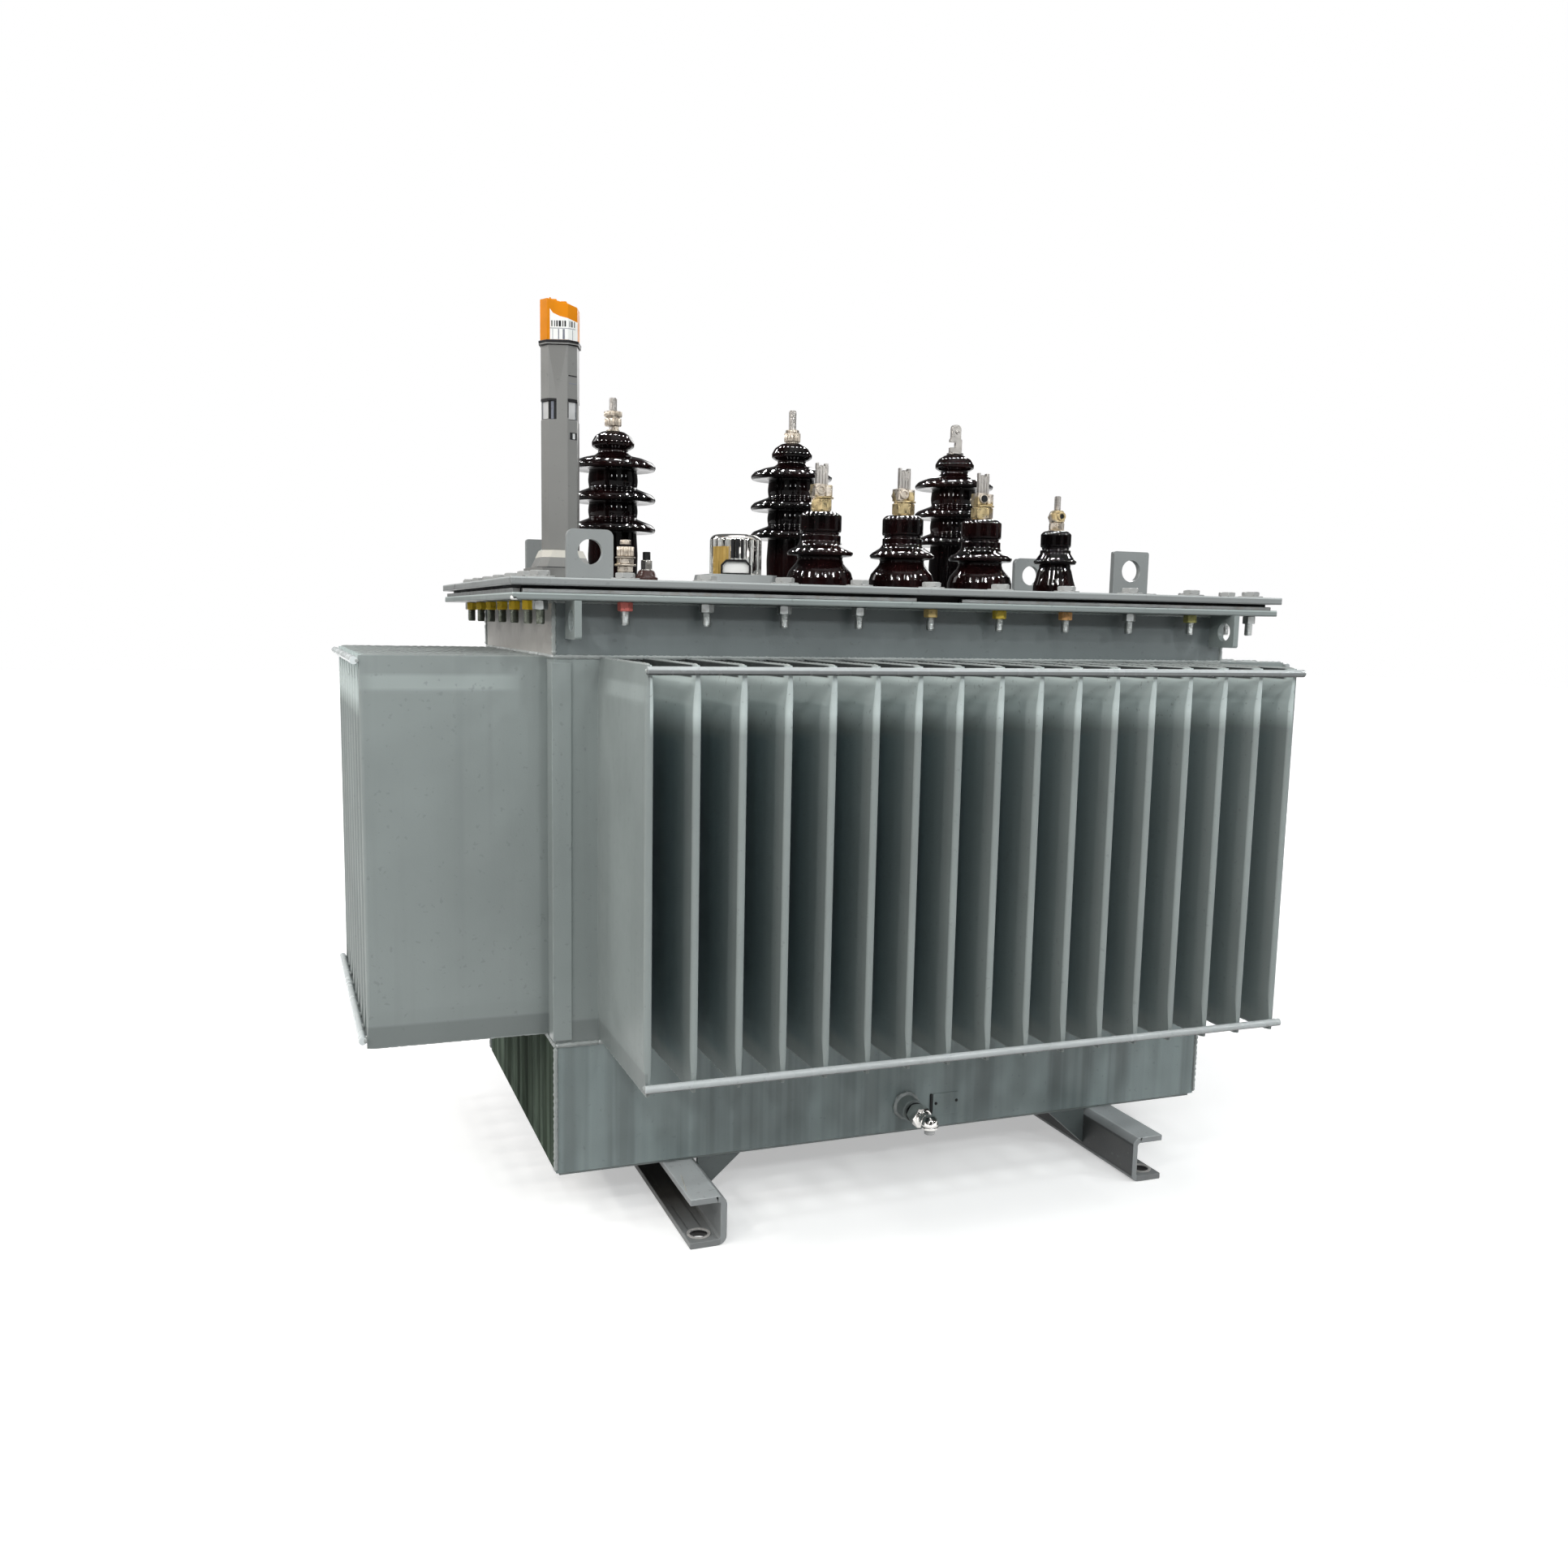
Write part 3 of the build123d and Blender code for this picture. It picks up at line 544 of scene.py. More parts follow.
# The painted gold reflection on the cap's flutes, by their turn in radians and their top in metres
capReflectionFlutes = {
    "axis": (-0.1605, -0.054),
    "turns": (-1.36, -0.62, 0.02),
    "top": (0.729, 0.7295),
    "colour": (0.5, 0.33, 0.09),
    "metal": 0.25,
}


def capWithPaintedReflection(name, style):
    kit = kitOf(metalFinish(name, nickelColour, 0.05, share=0.05, grain=0.04))
    x, y, z = axes(kit, kit["coords"])
    fromX, fromY = (computed(kit, "SUBTRACT", part, middle) for part, middle in zip((x, y), style["axis"]))
    turn = computed(kit, "ARCTAN2", fromX, times(kit, fromY, -1.0))
    # A painted gold reflection on some flutes, less metallic there
    flutesReflection = times(kit, band(kit, turn, *style["turns"]), ranged(kit, z, *style["top"], 1, 0))
    plain = kit["shader"].inputs["Base Color"].links[0].from_socket
    feed(kit, kit["shader"], {"Base Color": blended(kit, flutesReflection, plain, style["colour"]),
                              "Metallic": ranged(kit, flutesReflection, 0, 1, 1, style["metal"])})
    return kit["finish"]


zincFinish = metalFinish("zincPlate", (0.46, 0.48, 0.475), 0.36, (0.2, 0.19, 0.17), 0.45, 0.5, 300)
darkZinc = metalFinish("darkZinc", (0.12, 0.13, 0.11), 0.4, (0.05, 0.06, 0.03), 0.5, 0.5, 300)
creamZinc = paintFinish("boltPaint", (0.36, 0.365, 0.36), variation=0.2, streaks=0, wearAndSheen=0.8)
creamNickel = metalFinish("creamNickel", (0.5, 0.44, 0.37), 0.3, (0.1, 0.08, 0.06), 0.5, 0.1)
creamFinish = paintFinish("creamPaint", (0.5, 0.48, 0.43), gloss=0.45, variation=0.16, streaks=0)
footRimFinish = paintFinish("footRimPaint", (0.36, 0.35, 0.34), streaks=0, wearAndSheen=0.8)
weldFinish = paintFinish("weldPaint", (0.33, 0.355, 0.35), 0.3, 0.25, streaks=0, wearAndSheen=0.2, peel=0.6)
blackFinish = mouldedFinish("blackTrim", (0.006, 0.006, 0.007), 0.4, shine=0.25)
paneFinish = mouldedFinish("greyPane", (0.62, 0.62, 0.62), 0.15)
slateAndGlintFinish = mouldedFinish("slateAndTubeGlint", (0.16, 0.17, 0.21), 0.3)
whiteFinish = mouldedFinish("whiteTrim", (0.86, 0.86, 0.84), 0.4, 0.94)

# Nodes with a finish of their own; the others take the one of their slot
ownFinish = {
    "tap_changer_cap": capWithPaintedReflection("capPlate", capReflectionFlutes),
    "tank_flange": paintFinish("flangePaint", tankColour, shade=edgeLines(0.661, 0.668)),
    "foot_gussets": paintFinish("gussetPaint", (0.1, 0.118, 0.118), streaks=0.12),
    "foot_left": footFinish,
    "foot_right": footFinish,
}
for side, sizes in finWalls.items():
    pan, rim = (panFinish, rimFinish) if side in ("front", "rear") else (panEndFinish, rimEndFinish)
    fins = paintFinish("finPaint_" + side, tankColour, shade=finShade(finTone, *sizes))
    ownFinish.update({"corrugated_wall_" + side: fins, "pan_wall_" + side: pan, "rim_wall_" + side: rim})
print("finishes made")

roundedNodes = {
    "width": 0.0009,
    "small": 0.0005,
    "merge": 0.00002,
    "plain": ("corrugated_wall", "fin_rods", "cover_gasket"),
    "fine": ("gauge", "tap", "gasket_stop_bars", "cover_lug", "tank_lugs", "corner_posts"),
}


def softEdges(item, width):
    bevel = item.modifiers.new("softEdges", "BEVEL")
    bevel.width = width
    bevel.segments = 2
    bevel.limit_method = "ANGLE"
    bevel.angle_limit = math.radians(40)


def dressNodes(style):
    slots = {row["node"]: row["material_slot"] for row in frame["record"]["subparts"]}
    for name, node in frame["nodes"].items():
        node.data.materials.clear()
        node.data.materials.append(ownFinish.get(name) or finishes[slots[name]])
        if not name.startswith(style["plain"]):
            node.modifiers.new("mergedPoints", "WELD").merge_threshold = style["merge"]
            softEdges(node, style["small"] if name.startswith(style["fine"]) else style["width"])


dressNodes(roundedNodes)
print("nodes dressed")

# From here every length is in millimetres, which makePiece turns into metres
metresPerMm = 0.001
levels = {"pan": 58.0, "seam": 199.0, "rim": 605.0, "flange": 661.0, "cover": 683.0}
tank = {"halfLength": 409.0, "halfWidth": 219.5}


def softened(outline, closed=True, steps=4):
    # Rounds each point of an outline that has a radius after its two coordinates
    points = []
    last = len(outline) - 1
    for i, entry in enumerate(outline):
        here = Vector(entry[:2])
        radius = entry[2] if len(entry) > 2 else 0
        if not radius or (not closed and i in (0, last)):
            points.append(here)
            continue
        before = Vector(outline[i - 1][:2]) - here
        after = Vector(outline[(i + 1) % len(outline)][:2]) - here
        half = before.angle(after) / 2
        reach = min(radius / math.tan(half), 0.49 * before.length, 0.49 * after.length)
        middle = (before.normalized() + after.normalized()).normalized() * (reach / math.cos(half))
        first = before.normalized() * reach - middle
        final = after.normalized() * reach - middle
        turn = math.atan2(first.x * final.y - first.y * final.x, first.dot(final))
        for k in range(steps + 1):
            c, s = math.cos(turn * k / steps), math.sin(turn * k / steps)
            points.append(here + middle + Vector((first.x * c - first.y * s, first.x * s + first.y * c)))
    return points


def rectangle(x1, y1, x2, y2, corner=0.0):
    return softened([(x1, y1, corner), (x2, y1, corner), (x2, y2, corner), (x1, y2, corner)])


def at(x, y, z, turn=0.0, tilt=0.0):
    spin, lean = Matrix.Rotation(math.radians(turn), 4, "Z"), Matrix.Rotation(math.radians(tilt), 4, "X")
    return Matrix.Translation((x, y, z)) @ spin @ lean


def ringOf(shape, outline, z, place):
    return [shape.verts.new(place @ Vector((x, y, z))) for x, y in outline]


def joinRings(shape, rings, closeEnds=False):
    for low, high in zip(rings, rings[1:]):
        count = max(len(low), len(high))
        for k in range(count):
            n = (k + 1) % count
            if len(low) == 1:
                corners = (low[0], high[n], high[k])
            elif len(high) == 1:
                corners = (low[k], low[n], high[0])
            else:
                corners = (low[k], low[n], high[n], high[k])
            shape.faces.new(corners)
    if closeEnds:
        shape.faces.new(list(reversed(rings[0])))
        shape.faces.new(rings[-1])


def lathe(shape, outline, place, segments=64, wobble=0.0):
    rings = []
    for radius, height in outline:
        if radius < 0.001:
            rings.append([shape.verts.new(place @ Vector((0, 0, height)))])
            continue
        ring = []
        for k in range(segments):
            turn = 2 * math.pi * k / segments
            uneven = radius * (1 + wobble * random.uniform(-1, 1))
            ring.append(shape.verts.new(place @ Vector((uneven * math.cos(turn), uneven * math.sin(turn), height))))
        rings.append(ring)
    joinRings(shape, rings)


def turned(shape, outline, place, segments=64, wobble=0.0, steps=4):
    lathe(shape, softened(outline, False, steps), place, segments, wobble)


def washer(shape, radius, bore, thick, place, segments=32):
    lathe(shape, [(bore, 0), (radius, 0), (radius, thick), (bore, thick), (bore, 0)], place, segments)


def stack(shape, layers, place):
    joinRings(shape, [ringOf(shape, outline, z, place) for outline, z in layers], True)


def plate(shape, outline, low, high, place):
    stack(shape, [(outline, low), (outline, high)], place)


def slab(shape, width, depth, height, place, corner=0.0):
    plate(shape, rectangle(-width / 2, -depth / 2, width / 2, depth / 2, corner), 0, height, place)


def hexNut(shape, across, height, place, bore=0.0, columns=24, chamfer=0.96):
    flat = across / 2
    rings = [[], [], [], []]
    hole = []
    for k in range(columns):
        degrees = 360 * k / columns
        c, s = math.cos(math.radians(degrees)), math.sin(math.radians(degrees))
        corner = flat / math.cos(math.radians(degrees % 60 - 30))
        drop = (corner - chamfer * flat) / 2
        radii = (chamfer * flat, corner, corner, chamfer * flat)
        for ring, radius, z in zip(rings, radii, (0, drop, height - drop, height)):
            ring.append(shape.verts.new(place @ Vector((radius * c, radius * s, z))))
        hole.append((bore * c, bore * s))
    if bore:
        low, high = (ringOf(shape, hole, z, place) for z in (0, height))
        joinRings(shape, [low] + rings + [high, low])
    else:
        joinRings(shape, rings, True)


def knurledNut(shape, radius, height, place, teeth=28, depth=0.7, edge=0.9, taper=0.93):
    turns = [math.pi * k / teeth for k in range(2 * teeth)]
    radii = [radius - (depth if k % 2 else 0) for k in range(2 * teeth)]
    full = [Vector((math.cos(turn), math.sin(turn))) * size for turn, size in zip(turns, radii)]
    ends = [point * taper for point in full]
    stack(shape, [(ends, 0), (full, edge), (full, height - edge), (ends, height)], place)


def threadedStud(shape, radius, length, place, pitch=1.5, depth=0.6, columns=20):
    rows = int(length / pitch * 4)
    rings = []
    for row in range(rows + 1):
        z = length * row / rows
        tip = max(0.0, (z - length + 1.2) * 0.6)
        ring = []
        for k in range(columns):
            wave = (z / pitch - k / columns) % 1.0
            turn = 2 * math.pi * k / columns
            r = radius - depth * (1 - abs(2 * wave - 1)) - tip
            ring.append(shape.verts.new(place @ Vector((r * math.cos(turn), r * math.sin(turn), z))))
        rings.append(ring)
    joinRings(shape, rings, True)


beadShape = {"wave": 0.14, "waveTurn": 2.2, "uneven": 0.13, "wander": 0.1, "endSize": 0.55}


def weldBead(shape, start, end, radius, step=2.4, sides=6, style=beadShape):
    start, end = Vector(start), Vector(end)
    along = (end - start).normalized()
    across = along.cross(Vector((0, 0, 1)))
    if across.length < 0.1:
        across = Vector((1, 0, 0))
    across.normalize()
    third = along.cross(across)
    count = max(2, int((end - start).length / step))
    turns = [2 * math.pi * k / sides for k in range(sides)]
    rings = []
    for i in range(count + 1):
        wave = style["wave"] * math.sin(i * style["waveTurn"])
        size = radius * (1 + wave + random.uniform(-style["uneven"], style["uneven"]))
        size *= style["endSize"] if i in (0, count) else 1
        centre = start.lerp(end, i / count) + across * random.uniform(-style["wander"], style["wander"]) * radius
        rings.append([shape.verts.new(centre + across * (size * math.cos(turn)) + third * (size * math.sin(turn)))
                      for turn in turns])
    joinRings(shape, rings, True)


def makePiece(name, shape, finish, bevel=0.0, hides=(), slot=None, sharp=38):
    if isinstance(finish, str):  # the name of a slot, which gives the finish
        slot, finish = finish, finishes[finish]
    bmesh.ops.recalc_face_normals(shape, faces=shape.faces)
    for face in shape.faces:
        face.smooth = True
    for edge in shape.edges:
        if len(edge.link_faces) == 2 and edge.calc_face_angle() > math.radians(sharp):
            edge.smooth = False
    bmesh.ops.scale(shape, vec=(metresPerMm, metresPerMm, metresPerMm), verts=shape.verts)
    mesh = bpy.data.meshes.new(name)
    shape.to_mesh(mesh)
    shape.free()
    mesh.materials.append(finish)
    piece = newObject(name, mesh)
    if bevel:
        softEdges(piece, bevel * metresPerMm)
    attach(piece, "root")
    if hides:
        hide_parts(*hides)


def built(name, finish, *parts, **rest):
    # Each part is the function that shapes it and then its sizes and place
    shape = bmesh.new()
    for shaper, *sizes in parts:
        shaper(shape, *sizes)
    makePiece(name, shape, finish, **rest)


def makeBushing(name, number, node, outline, rubber, x, row):
    built(f"{name}Porcelain{number}", "porcelain", (lathe, outline, at(x, row, levels["cover"] + 0.2), 96),
          hides=(node,), sharp=60)
    built(f"{name}FootRubber{number}", "gasket", (washer, *rubber, at(x, row, levels["cover"] + 0.1), 64), bevel=0.3)


highBushing = {
    "places": (-266.0, -26.0, 214.0),
    "row": 117.0,
    "foot": 33.0,
    "body": 30.0,
    "shed": 54.0,
    "shedLevels": (71.5, 108.5, 148.0),
    "hub": 24.0,
    "neck": 18.5,
    "cap": 26.5,
    "height": 192.0,
    "rubber": (35.5, 21.0, 1.4),
}


def highBushingOutline(style):
    body, shed, neck, cap = style["body"], style["shed"], style["neck"], style["cap"]
    outline = [(0, 0), (style["foot"], 0, 1.5), (style["foot"], 7, 2.5), (body + 0.4, 10.5, 2), (body + 1.2, 40, 60)]
    for level in style["shedLevels"]:
        last = level == style["shedLevels"][-1]
        outline += [(body - 0.6, level - 1, 3), (shed - 11, level - 2.6, 3), (shed - 2.6, level - 4, 2.4),
                    (shed, level + 0.6, 4.6), (shed - 5, level + 6, 6.5), (body + 8, level + 10.4, 10)]
        outline.append((style["hub"] if last else body - 0.4, level + 13.6, 2.4))
        if not last:
            outline.append((body + 1.2, level + 22, 30))
    outline += [(neck, level + 17.5, 3), (neck, 169.3, 1.5), (cap - 5, 170, 1.6), (cap - 0.4, 173, 2.2), (cap, 178, 5),
                (cap - 4, 185.4, 8), (cap - 12, 190.6, 8), (9, 191.8), (0, 192)]
    return softened(outline, False)


def makeHighBushings(style):
    outline = highBushingOutline(style)
    for i, x in enumerate(style["places"]):
        makeBushing("high", i + 1, f"hv_bushing_{i + 1}", outline, style["rubber"], x, style["row"])


highTerminal = {
    "stud": 5.0,
    "studHigh": (40.5, 41.8),
    "palmWide": 17.6,
    "palmNarrow": 14.0,
    "palmThick": 6.0,
    "palmHigh": 39.6,
    "notch": (9.4, 16.3),
}


def makeHighTerminals(style):
    top = levels["cover"] + highBushing["height"]
    row = highBushing["row"]
    for i, length in enumerate(style["studHigh"]):
        x = highBushing["places"][i]
        if i == 0:
            nuts = [(hexNut, 9, 4.6, at(x + 2, row - 2, top + 1.4, 10)),
                    (knurledNut, 10.6, 9.6, at(x, row, top + 6.2), 15, 1.5),
                    (washer, 8.6, 4.6, 1.2, at(x, row, top + 15.9), 40),
                    (knurledNut, 11.4, 6.6, at(x, row, top + 17.4), 15, 1.7)]
        else:
            nuts = [(knurledNut, 10.8, 11.8, at(x, row, top + 1.7), 15, 1.5),
                    (washer, 8.8, 4.6, 3, at(x, row, top + 13.8), 40)]
        built(f"highNuts{i + 1}", creamNickel, (washer, 8.5, 4.6, 1.4, at(x, row, top), 40), *nuts,
              bevel=0.25, slot="stud_metal")
        built(f"highStud{i + 1}", "stud_metal", (threadedStud, style["stud"], length, at(x, row, top), 1.5, 0.3),
              hides=(f"hv_terminal_{i + 1}",))
    x = highBushing["places"][2]
    w, n, high, thick = style["palmWide"] / 2, style["palmNarrow"] / 2, style["palmHigh"], style["palmThick"]
    low, up = style["notch"]
    outline = softened([(-w, 0.4), (w, 0.4), (w, 19.5, 2), (n, 21.8, 2), (n, high, 5), (-n, high, 5), (-n, 21.8, 2),
                        (-w, 19.5, 2), (-w, up, 0.8), (-0.5, up, 0.8), (-0.5, low, 0.8), (-w, low, 0.8)])
    rivet = [(0, 0), (2.6, 0, 0.4), (2.6, 1.1, 0.8), (0, 1.6)]
    built("highPalm", "stud_metal", (plate, outline, -thick / 2, thick / 2, at(x, row, top, 0, 90)),
          (washer, 11.5, 4.6, 1.8, at(x, row, top), 40),
          (turned, rivet, at(x + 1, row - thick / 2, top + 30, 0, 90), 20), bevel=0.4, hides=("hv_terminal_3",))


makeHighBushings(highBushing)
makeHighTerminals(highTerminal)
print("high-voltage bushings made")

lowBushing = {
    "places": (-79.5, 25.0, 129.5),
    "neutral": 234.0,
    "row": -117.0,
    "large": {"height": 86.0, "head": 24.0, "headHeight": 23.0, "groove": 21.5, "shed": 38.5, "waist": 26.0,
              "bell": 38.5},
    "small": {"height": 77.0, "head": 18.5, "headHeight": 20.0, "groove": 16.5, "shed": 26.5, "waist": 19.0,
              "bell": 25.5},
    "shedLevel": 40.5,
}


def lowBushingOutline(size, level):
    head = size["height"] - size["headHeight"]
    groove, shed, waist, bell, top = size["groove"], size["shed"], size["waist"], size["bell"], size["head"]
    ring = (level + head) / 2
    return softened([
        (0, 0), (bell - 1.8, 0, 1.2), (bell, 3.6, 2), (bell, 11, 4), (bell - 2.4, 18.5, 7), (waist + 1.5, 28.8, 5),
        (waist, 32, 3), (waist, level - 5, 2.5), (shed - 8, level - 4.5, 3), (shed - 1.8, level - 3.8, 1.5),
        (shed, level - 0.5, 1.8), (shed - 3.5, level + 2.9, 4), (groove + 5, ring - 3.2, 5), (groove + 2, ring + 1, 3),
        (groove + 2, head - 3.4, 1.2), (groove, head - 2.6, 0.7), (groove, head + 0.2, 0.8),
        (top - 0.6, head + 0.3, 0.8), (top, head + 2.6, 1.5), (top, size["height"] - 3.8, 3.6),
        (top - 3.8, size["height"], 3), (0, size["height"]),
    ], False)


def makeLowBushings(style):
    for i, x in enumerate(style["places"] + (style["neutral"],)):
        size, node = (style["small"], "neutral_bushing") if i == 3 else (style["large"], f"lv_bushing_{i + 1}")
        rubber = (size["bell"] + 1.5, size["bell"] - 10, 1.3)
        makeBushing("low", i + 1, node, lowBushingOutline(size, style["shedLevel"]), rubber, x, style["row"])


lowTerminal = {
    "nutAcross": 23.0,
    "nutHeight": 13.6,
    "clamp": (22.0, 19.0, 14.0),
    "flag": (15.0, 6.0, 24.0),
    "grooves": 4,
    "turns": (12.0, -20.0, 38.0),
    "boltShift": -4.5,
    "clampLevel": 17.3,
}


def clampBolt(shape, x, y, z, reach):
    head = [(0, 0), (5.6, 0, 0.5), (5.6, 3.4, 0.9), (3.1, 3.4, 0.3), (2.9, 1.6), (0, 1.6)]
    turned(shape, head, at(x, y - reach, z, 0, 90), 28)
    hexNut(shape, 9.5, 4.5, at(x, y + reach, z, 0, -90))


def makeSocket(name, x, y, z, radius, depth):
    built(name, blackFinish, (turned, [(0, 0), (radius, 0), (radius, depth), (0, depth)], at(x, y, z, 0, 90), 24))


def stripedFlag(shape, style, place):
    wide, thick, high = style["flag"]
    w, t, count = wide / 2, thick / 2, style["grooves"]
    groove = ((0.08, 0), (0.62, 0), (0.7, 0.9), (0.98, 0.9))
    front = [(-w + wide / count * (k + part), -t + deep) for k in range(count) for part, deep in groove]
    plate(shape, front + [(-x, -y) for x, y in front], 0, high - 3, place)
    for x, size, up in ((-w + 1.6, 2.8, 3), (w - 2.4, 4.0, 2.6), (-0.6, 3.2, 0.8)):
        slab(shape, size, thick - 1, up + 0.6, place @ at(x, 0, high - 3.4), 0.5)


def makeLowTerminals(style):
    row = lowBushing["row"]
    wide, deep, high = style["clamp"]
    top = levels["cover"] + lowBushing["large"]["height"]
    base = top + style["clampLevel"]
    for i, x in enumerate(lowBushing["places"]):
        built(f"lowNut{i + 1}", "brass", (washer, 12.4, 5, 1.2, at(x, row, top + 0.1), 40),
              (hexNut, style["nutAcross"], style["nutHeight"], at(x, row, top + 1.3, style["turns"][i]), 5),
              (washer, 12.8, 5, 2, at(x + 1.5, row, top + 15.2), 40), bevel=0.35, hides=(f"lv_terminal_{i + 1}",))
        built(f"lowClamp{i + 1}", "brass", (slab, wide * 0.56, deep, high, at(x - wide * 0.22, row, base), 2.4),
              (slab, wide * 0.4, deep - 2, high - 1.4, at(x + wide * 0.29, row, base + 0.4), 2),
              (slab, wide - 6, deep - 8, high - 0.6, at(x, row, base), 1), bevel=0.6)
        boltX, boltZ = x + style["boltShift"], base + high / 2
        built(f"lowClampBolt{i + 1}", creamNickel, (clampBolt, boltX, row, boltZ, deep / 2), bevel=0.2, slot="brass")
        if i == 2:
            makeSocket("lowClampSocket", boltX, row - deep / 2 - 1.8, boltZ, 4.2, 2)
        built(f"lowFlag{i + 1}", "stud_metal", (stripedFlag, style, at(x, row, base + high - 0.4)), bevel=0.15)


neutralTerminal = {
    "collar": [(4, 10.4), (9, 10.4, 1), (9.6, 13, 2), (9.6, 21, 3), (7.5, 25, 3), (4, 25.4)],
    "boltLevel": 17.5,
    "boltReach": 8.4,
    "socketReach": 9.8,
    "stud": (4.2, 42.2),
}


def makeNeutralTerminal(style, x, row, top):
    boltZ = top + style["boltLevel"]
    built("neutralNuts", "brass", (washer, 10.2, 4.5, 1.2, at(x, row, top + 0.1), 36),
          (hexNut, 17, 9, at(x, row, top + 1.3, 9), 4), (turned, style["collar"], at(x, row, top), 40),
          (clampBolt, x, row, boltZ, style["boltReach"]), bevel=0.3, hides=("neutral_terminal",))
    makeSocket("neutralSocket", x, row - style["socketReach"], boltZ, 3.0, 0.5)
    built("neutralStud", "stud_metal", (threadedStud, *style["stud"], at(x, row, top), 1.4, 0.5))


makeLowBushings(lowBushing)
makeLowTerminals(lowTerminal)
neutralTop = levels["cover"] + lowBushing["small"]["height"]
makeNeutralTerminal(neutralTerminal, lowBushing["neutral"], lowBushing["row"], neutralTop)
print("low-voltage bushings made")

glints = {
    "low": ((-150, 31), (-120, 31), (-90, 31), (-60, 31), (-30, 31), (0, 31), (30, 31), (61, 31), (92, 31)),
    "lowStrip": (0.07, 0.2, 90.0),
    "high": ((159, 88), (87, 75), (231, 75), (101, 60), (217, 60), (117, 45), (201, 45)),
    "highStrip": (0.45, 0.08, 80.0),
    "distance": 2.6,
    "aim": (0.0, 0.0, 0.8),
}


def makeGlintLamps(style):
    # Strip lamps for the gloss on the porcelain only, each placed by its turn and height angle in degrees
    glazed = bpy.data.collections.new("glazedPieces")
    for item in bpy.data.objects:
        if "Porcelain" in item.name:
            glazed.objects.link(item)
    for row in ("low", "high"):
        width, height, power = style[row + "Strip"]
        for k, degrees in enumerate(style[row]):
            turn, rise = (math.radians(value) for value in degrees)
            level = style["distance"] * math.cos(rise)
            place = Vector((level * math.sin(turn), -level * math.cos(turn), style["distance"] * math.sin(rise)))
            lamp = areaLamp(f"{row}Glint{k + 1}", place + Vector(style["aim"]), style["aim"], (width, height), power)
            lamp.visible_diffuse = False
            lamp.light_linking.receiver_collection = glazed


makeGlintLamps(glints)
print("porcelain lit")

coverBolts = {
    "rowY": 237.0,
    "frontX": -426.0,
    "sideX": 431.0,
    "spacingX": 86.0,
    "spacingY": 79.0,
    "turnSpread": 9,
    "washer": 14.5,
    "headAcross": 18.0,
    "headHeight": 5.4,
    "nutAcross": 13.6,
    "nutHeight": 9.2,
    "stickOut": 17.0,
    "dabs": {2: (0.84, 0.2, 0.17), 6: (0.72, 0.52, 0.2), 7: (0.84, 0.6, 0.06), 8: (0.88, 0.45, 0.16),
             10: (0.4, 0.38, 0.12)},
    "leftDab": (1.0, 0.66, 0.02),
    "leftTurn": -38.0,
    "leftSize": 0.84,
    "frontTurn": -20.0,
}


def boltPlaces(style):
    front = [(style["frontX"] + k * style["spacingX"], -style["rowY"]) for k in range(11)]
    left = [(-style["sideX"], (k - 2.5) * style["spacingY"]) for k in range(6)]
    return {"front": front, "rear": [(x, -y) for x, y in front], "left": left, "right": [(-x, y) for x, y in left]}


def dabFinish(name, colour):
    kit = newFinish(name)
    base = blended(kit, patches(kit, 130, 4, 0.27, 0.4), scaled(colour, 0.55), colour)
    base = tinted(kit, base, colour, (patches(kit, 300, 2, 0.62, 0.7, 0, 0.6), 0.35))
    rough = patches(kit, 200, 2, 0.3, 0.7, 0.35, 0.55)
    return finished(kit, base, rough, bumped(kit, noiseField(kit, 350, 3), 0.5, 0.0005))


def makeCoverBolts(style):
    heads, shanks, darkShanks, plainNuts = (bmesh.new() for k in range(4))
    low = levels["flange"] - 0.1 - style["nutHeight"]
    random.seed(5)
    dabbed = {}
    for side, places in boltPlaces(style).items():
        onLeft = side == "left"
        for k, (x, y) in enumerate(places):
            turn = random.uniform(-style["turnSpread"], style["turnSpread"])
            washer(heads, style["washer"], 5, 1.6, at(x, y, levels["cover"] + 0.1), 32)
            hexNut(heads, style["headAcross"], style["headHeight"], at(x, y, levels["cover"] + 1.7, turn * 3))
            shank = darkShanks if onLeft or (side == "front" and k == 0) else shanks
            threadedStud(shank, 4.6, style["stickOut"], at(x, y, low + 3, 0, 180), 1.5, 0.4, 16)
            colour = {"front": style["dabs"].get(k + 1), "left": style["leftDab"]}.get(side)
            if colour and colour not in dabbed:
                dabbed[colour] = bmesh.new()
            facing = style["leftTurn"] if onLeft else style["frontTurn"]
            across = style["nutAcross"] * (style["leftSize"] if onLeft else 1)
            hexNut(dabbed.get(colour, plainNuts), across, style["nutHeight"], at(x, y, low, facing + turn), 4.2)
    makePiece("coverBoltHeads", heads, creamZinc, 0.3)
    makePiece("coverBoltShanks", shanks, zincFinish)
    makePiece("coverBoltShanksLeft", darkShanks, darkZinc)
    makePiece("flangeNuts", plainNuts, zincFinish, 0.3)
    for k, (colour, nuts) in enumerate(dabbed.items()):
        makePiece(f"dabbedNuts{k + 1}", nuts, dabFinish(f"markPaint{k + 1}", colour), 0.3)


makeCoverBolts(coverBolts)
print("cover bolts made")

coverFittings = {
    "cornerPlug": (-454.6, -256.0, 660.4),
    "cornerSize": (7.6, 6.0, 4.2),
    "earth": (-340.0, -237.0, 690.0),
    "filler": (-237.0, 62.0, levels["cover"]),
}


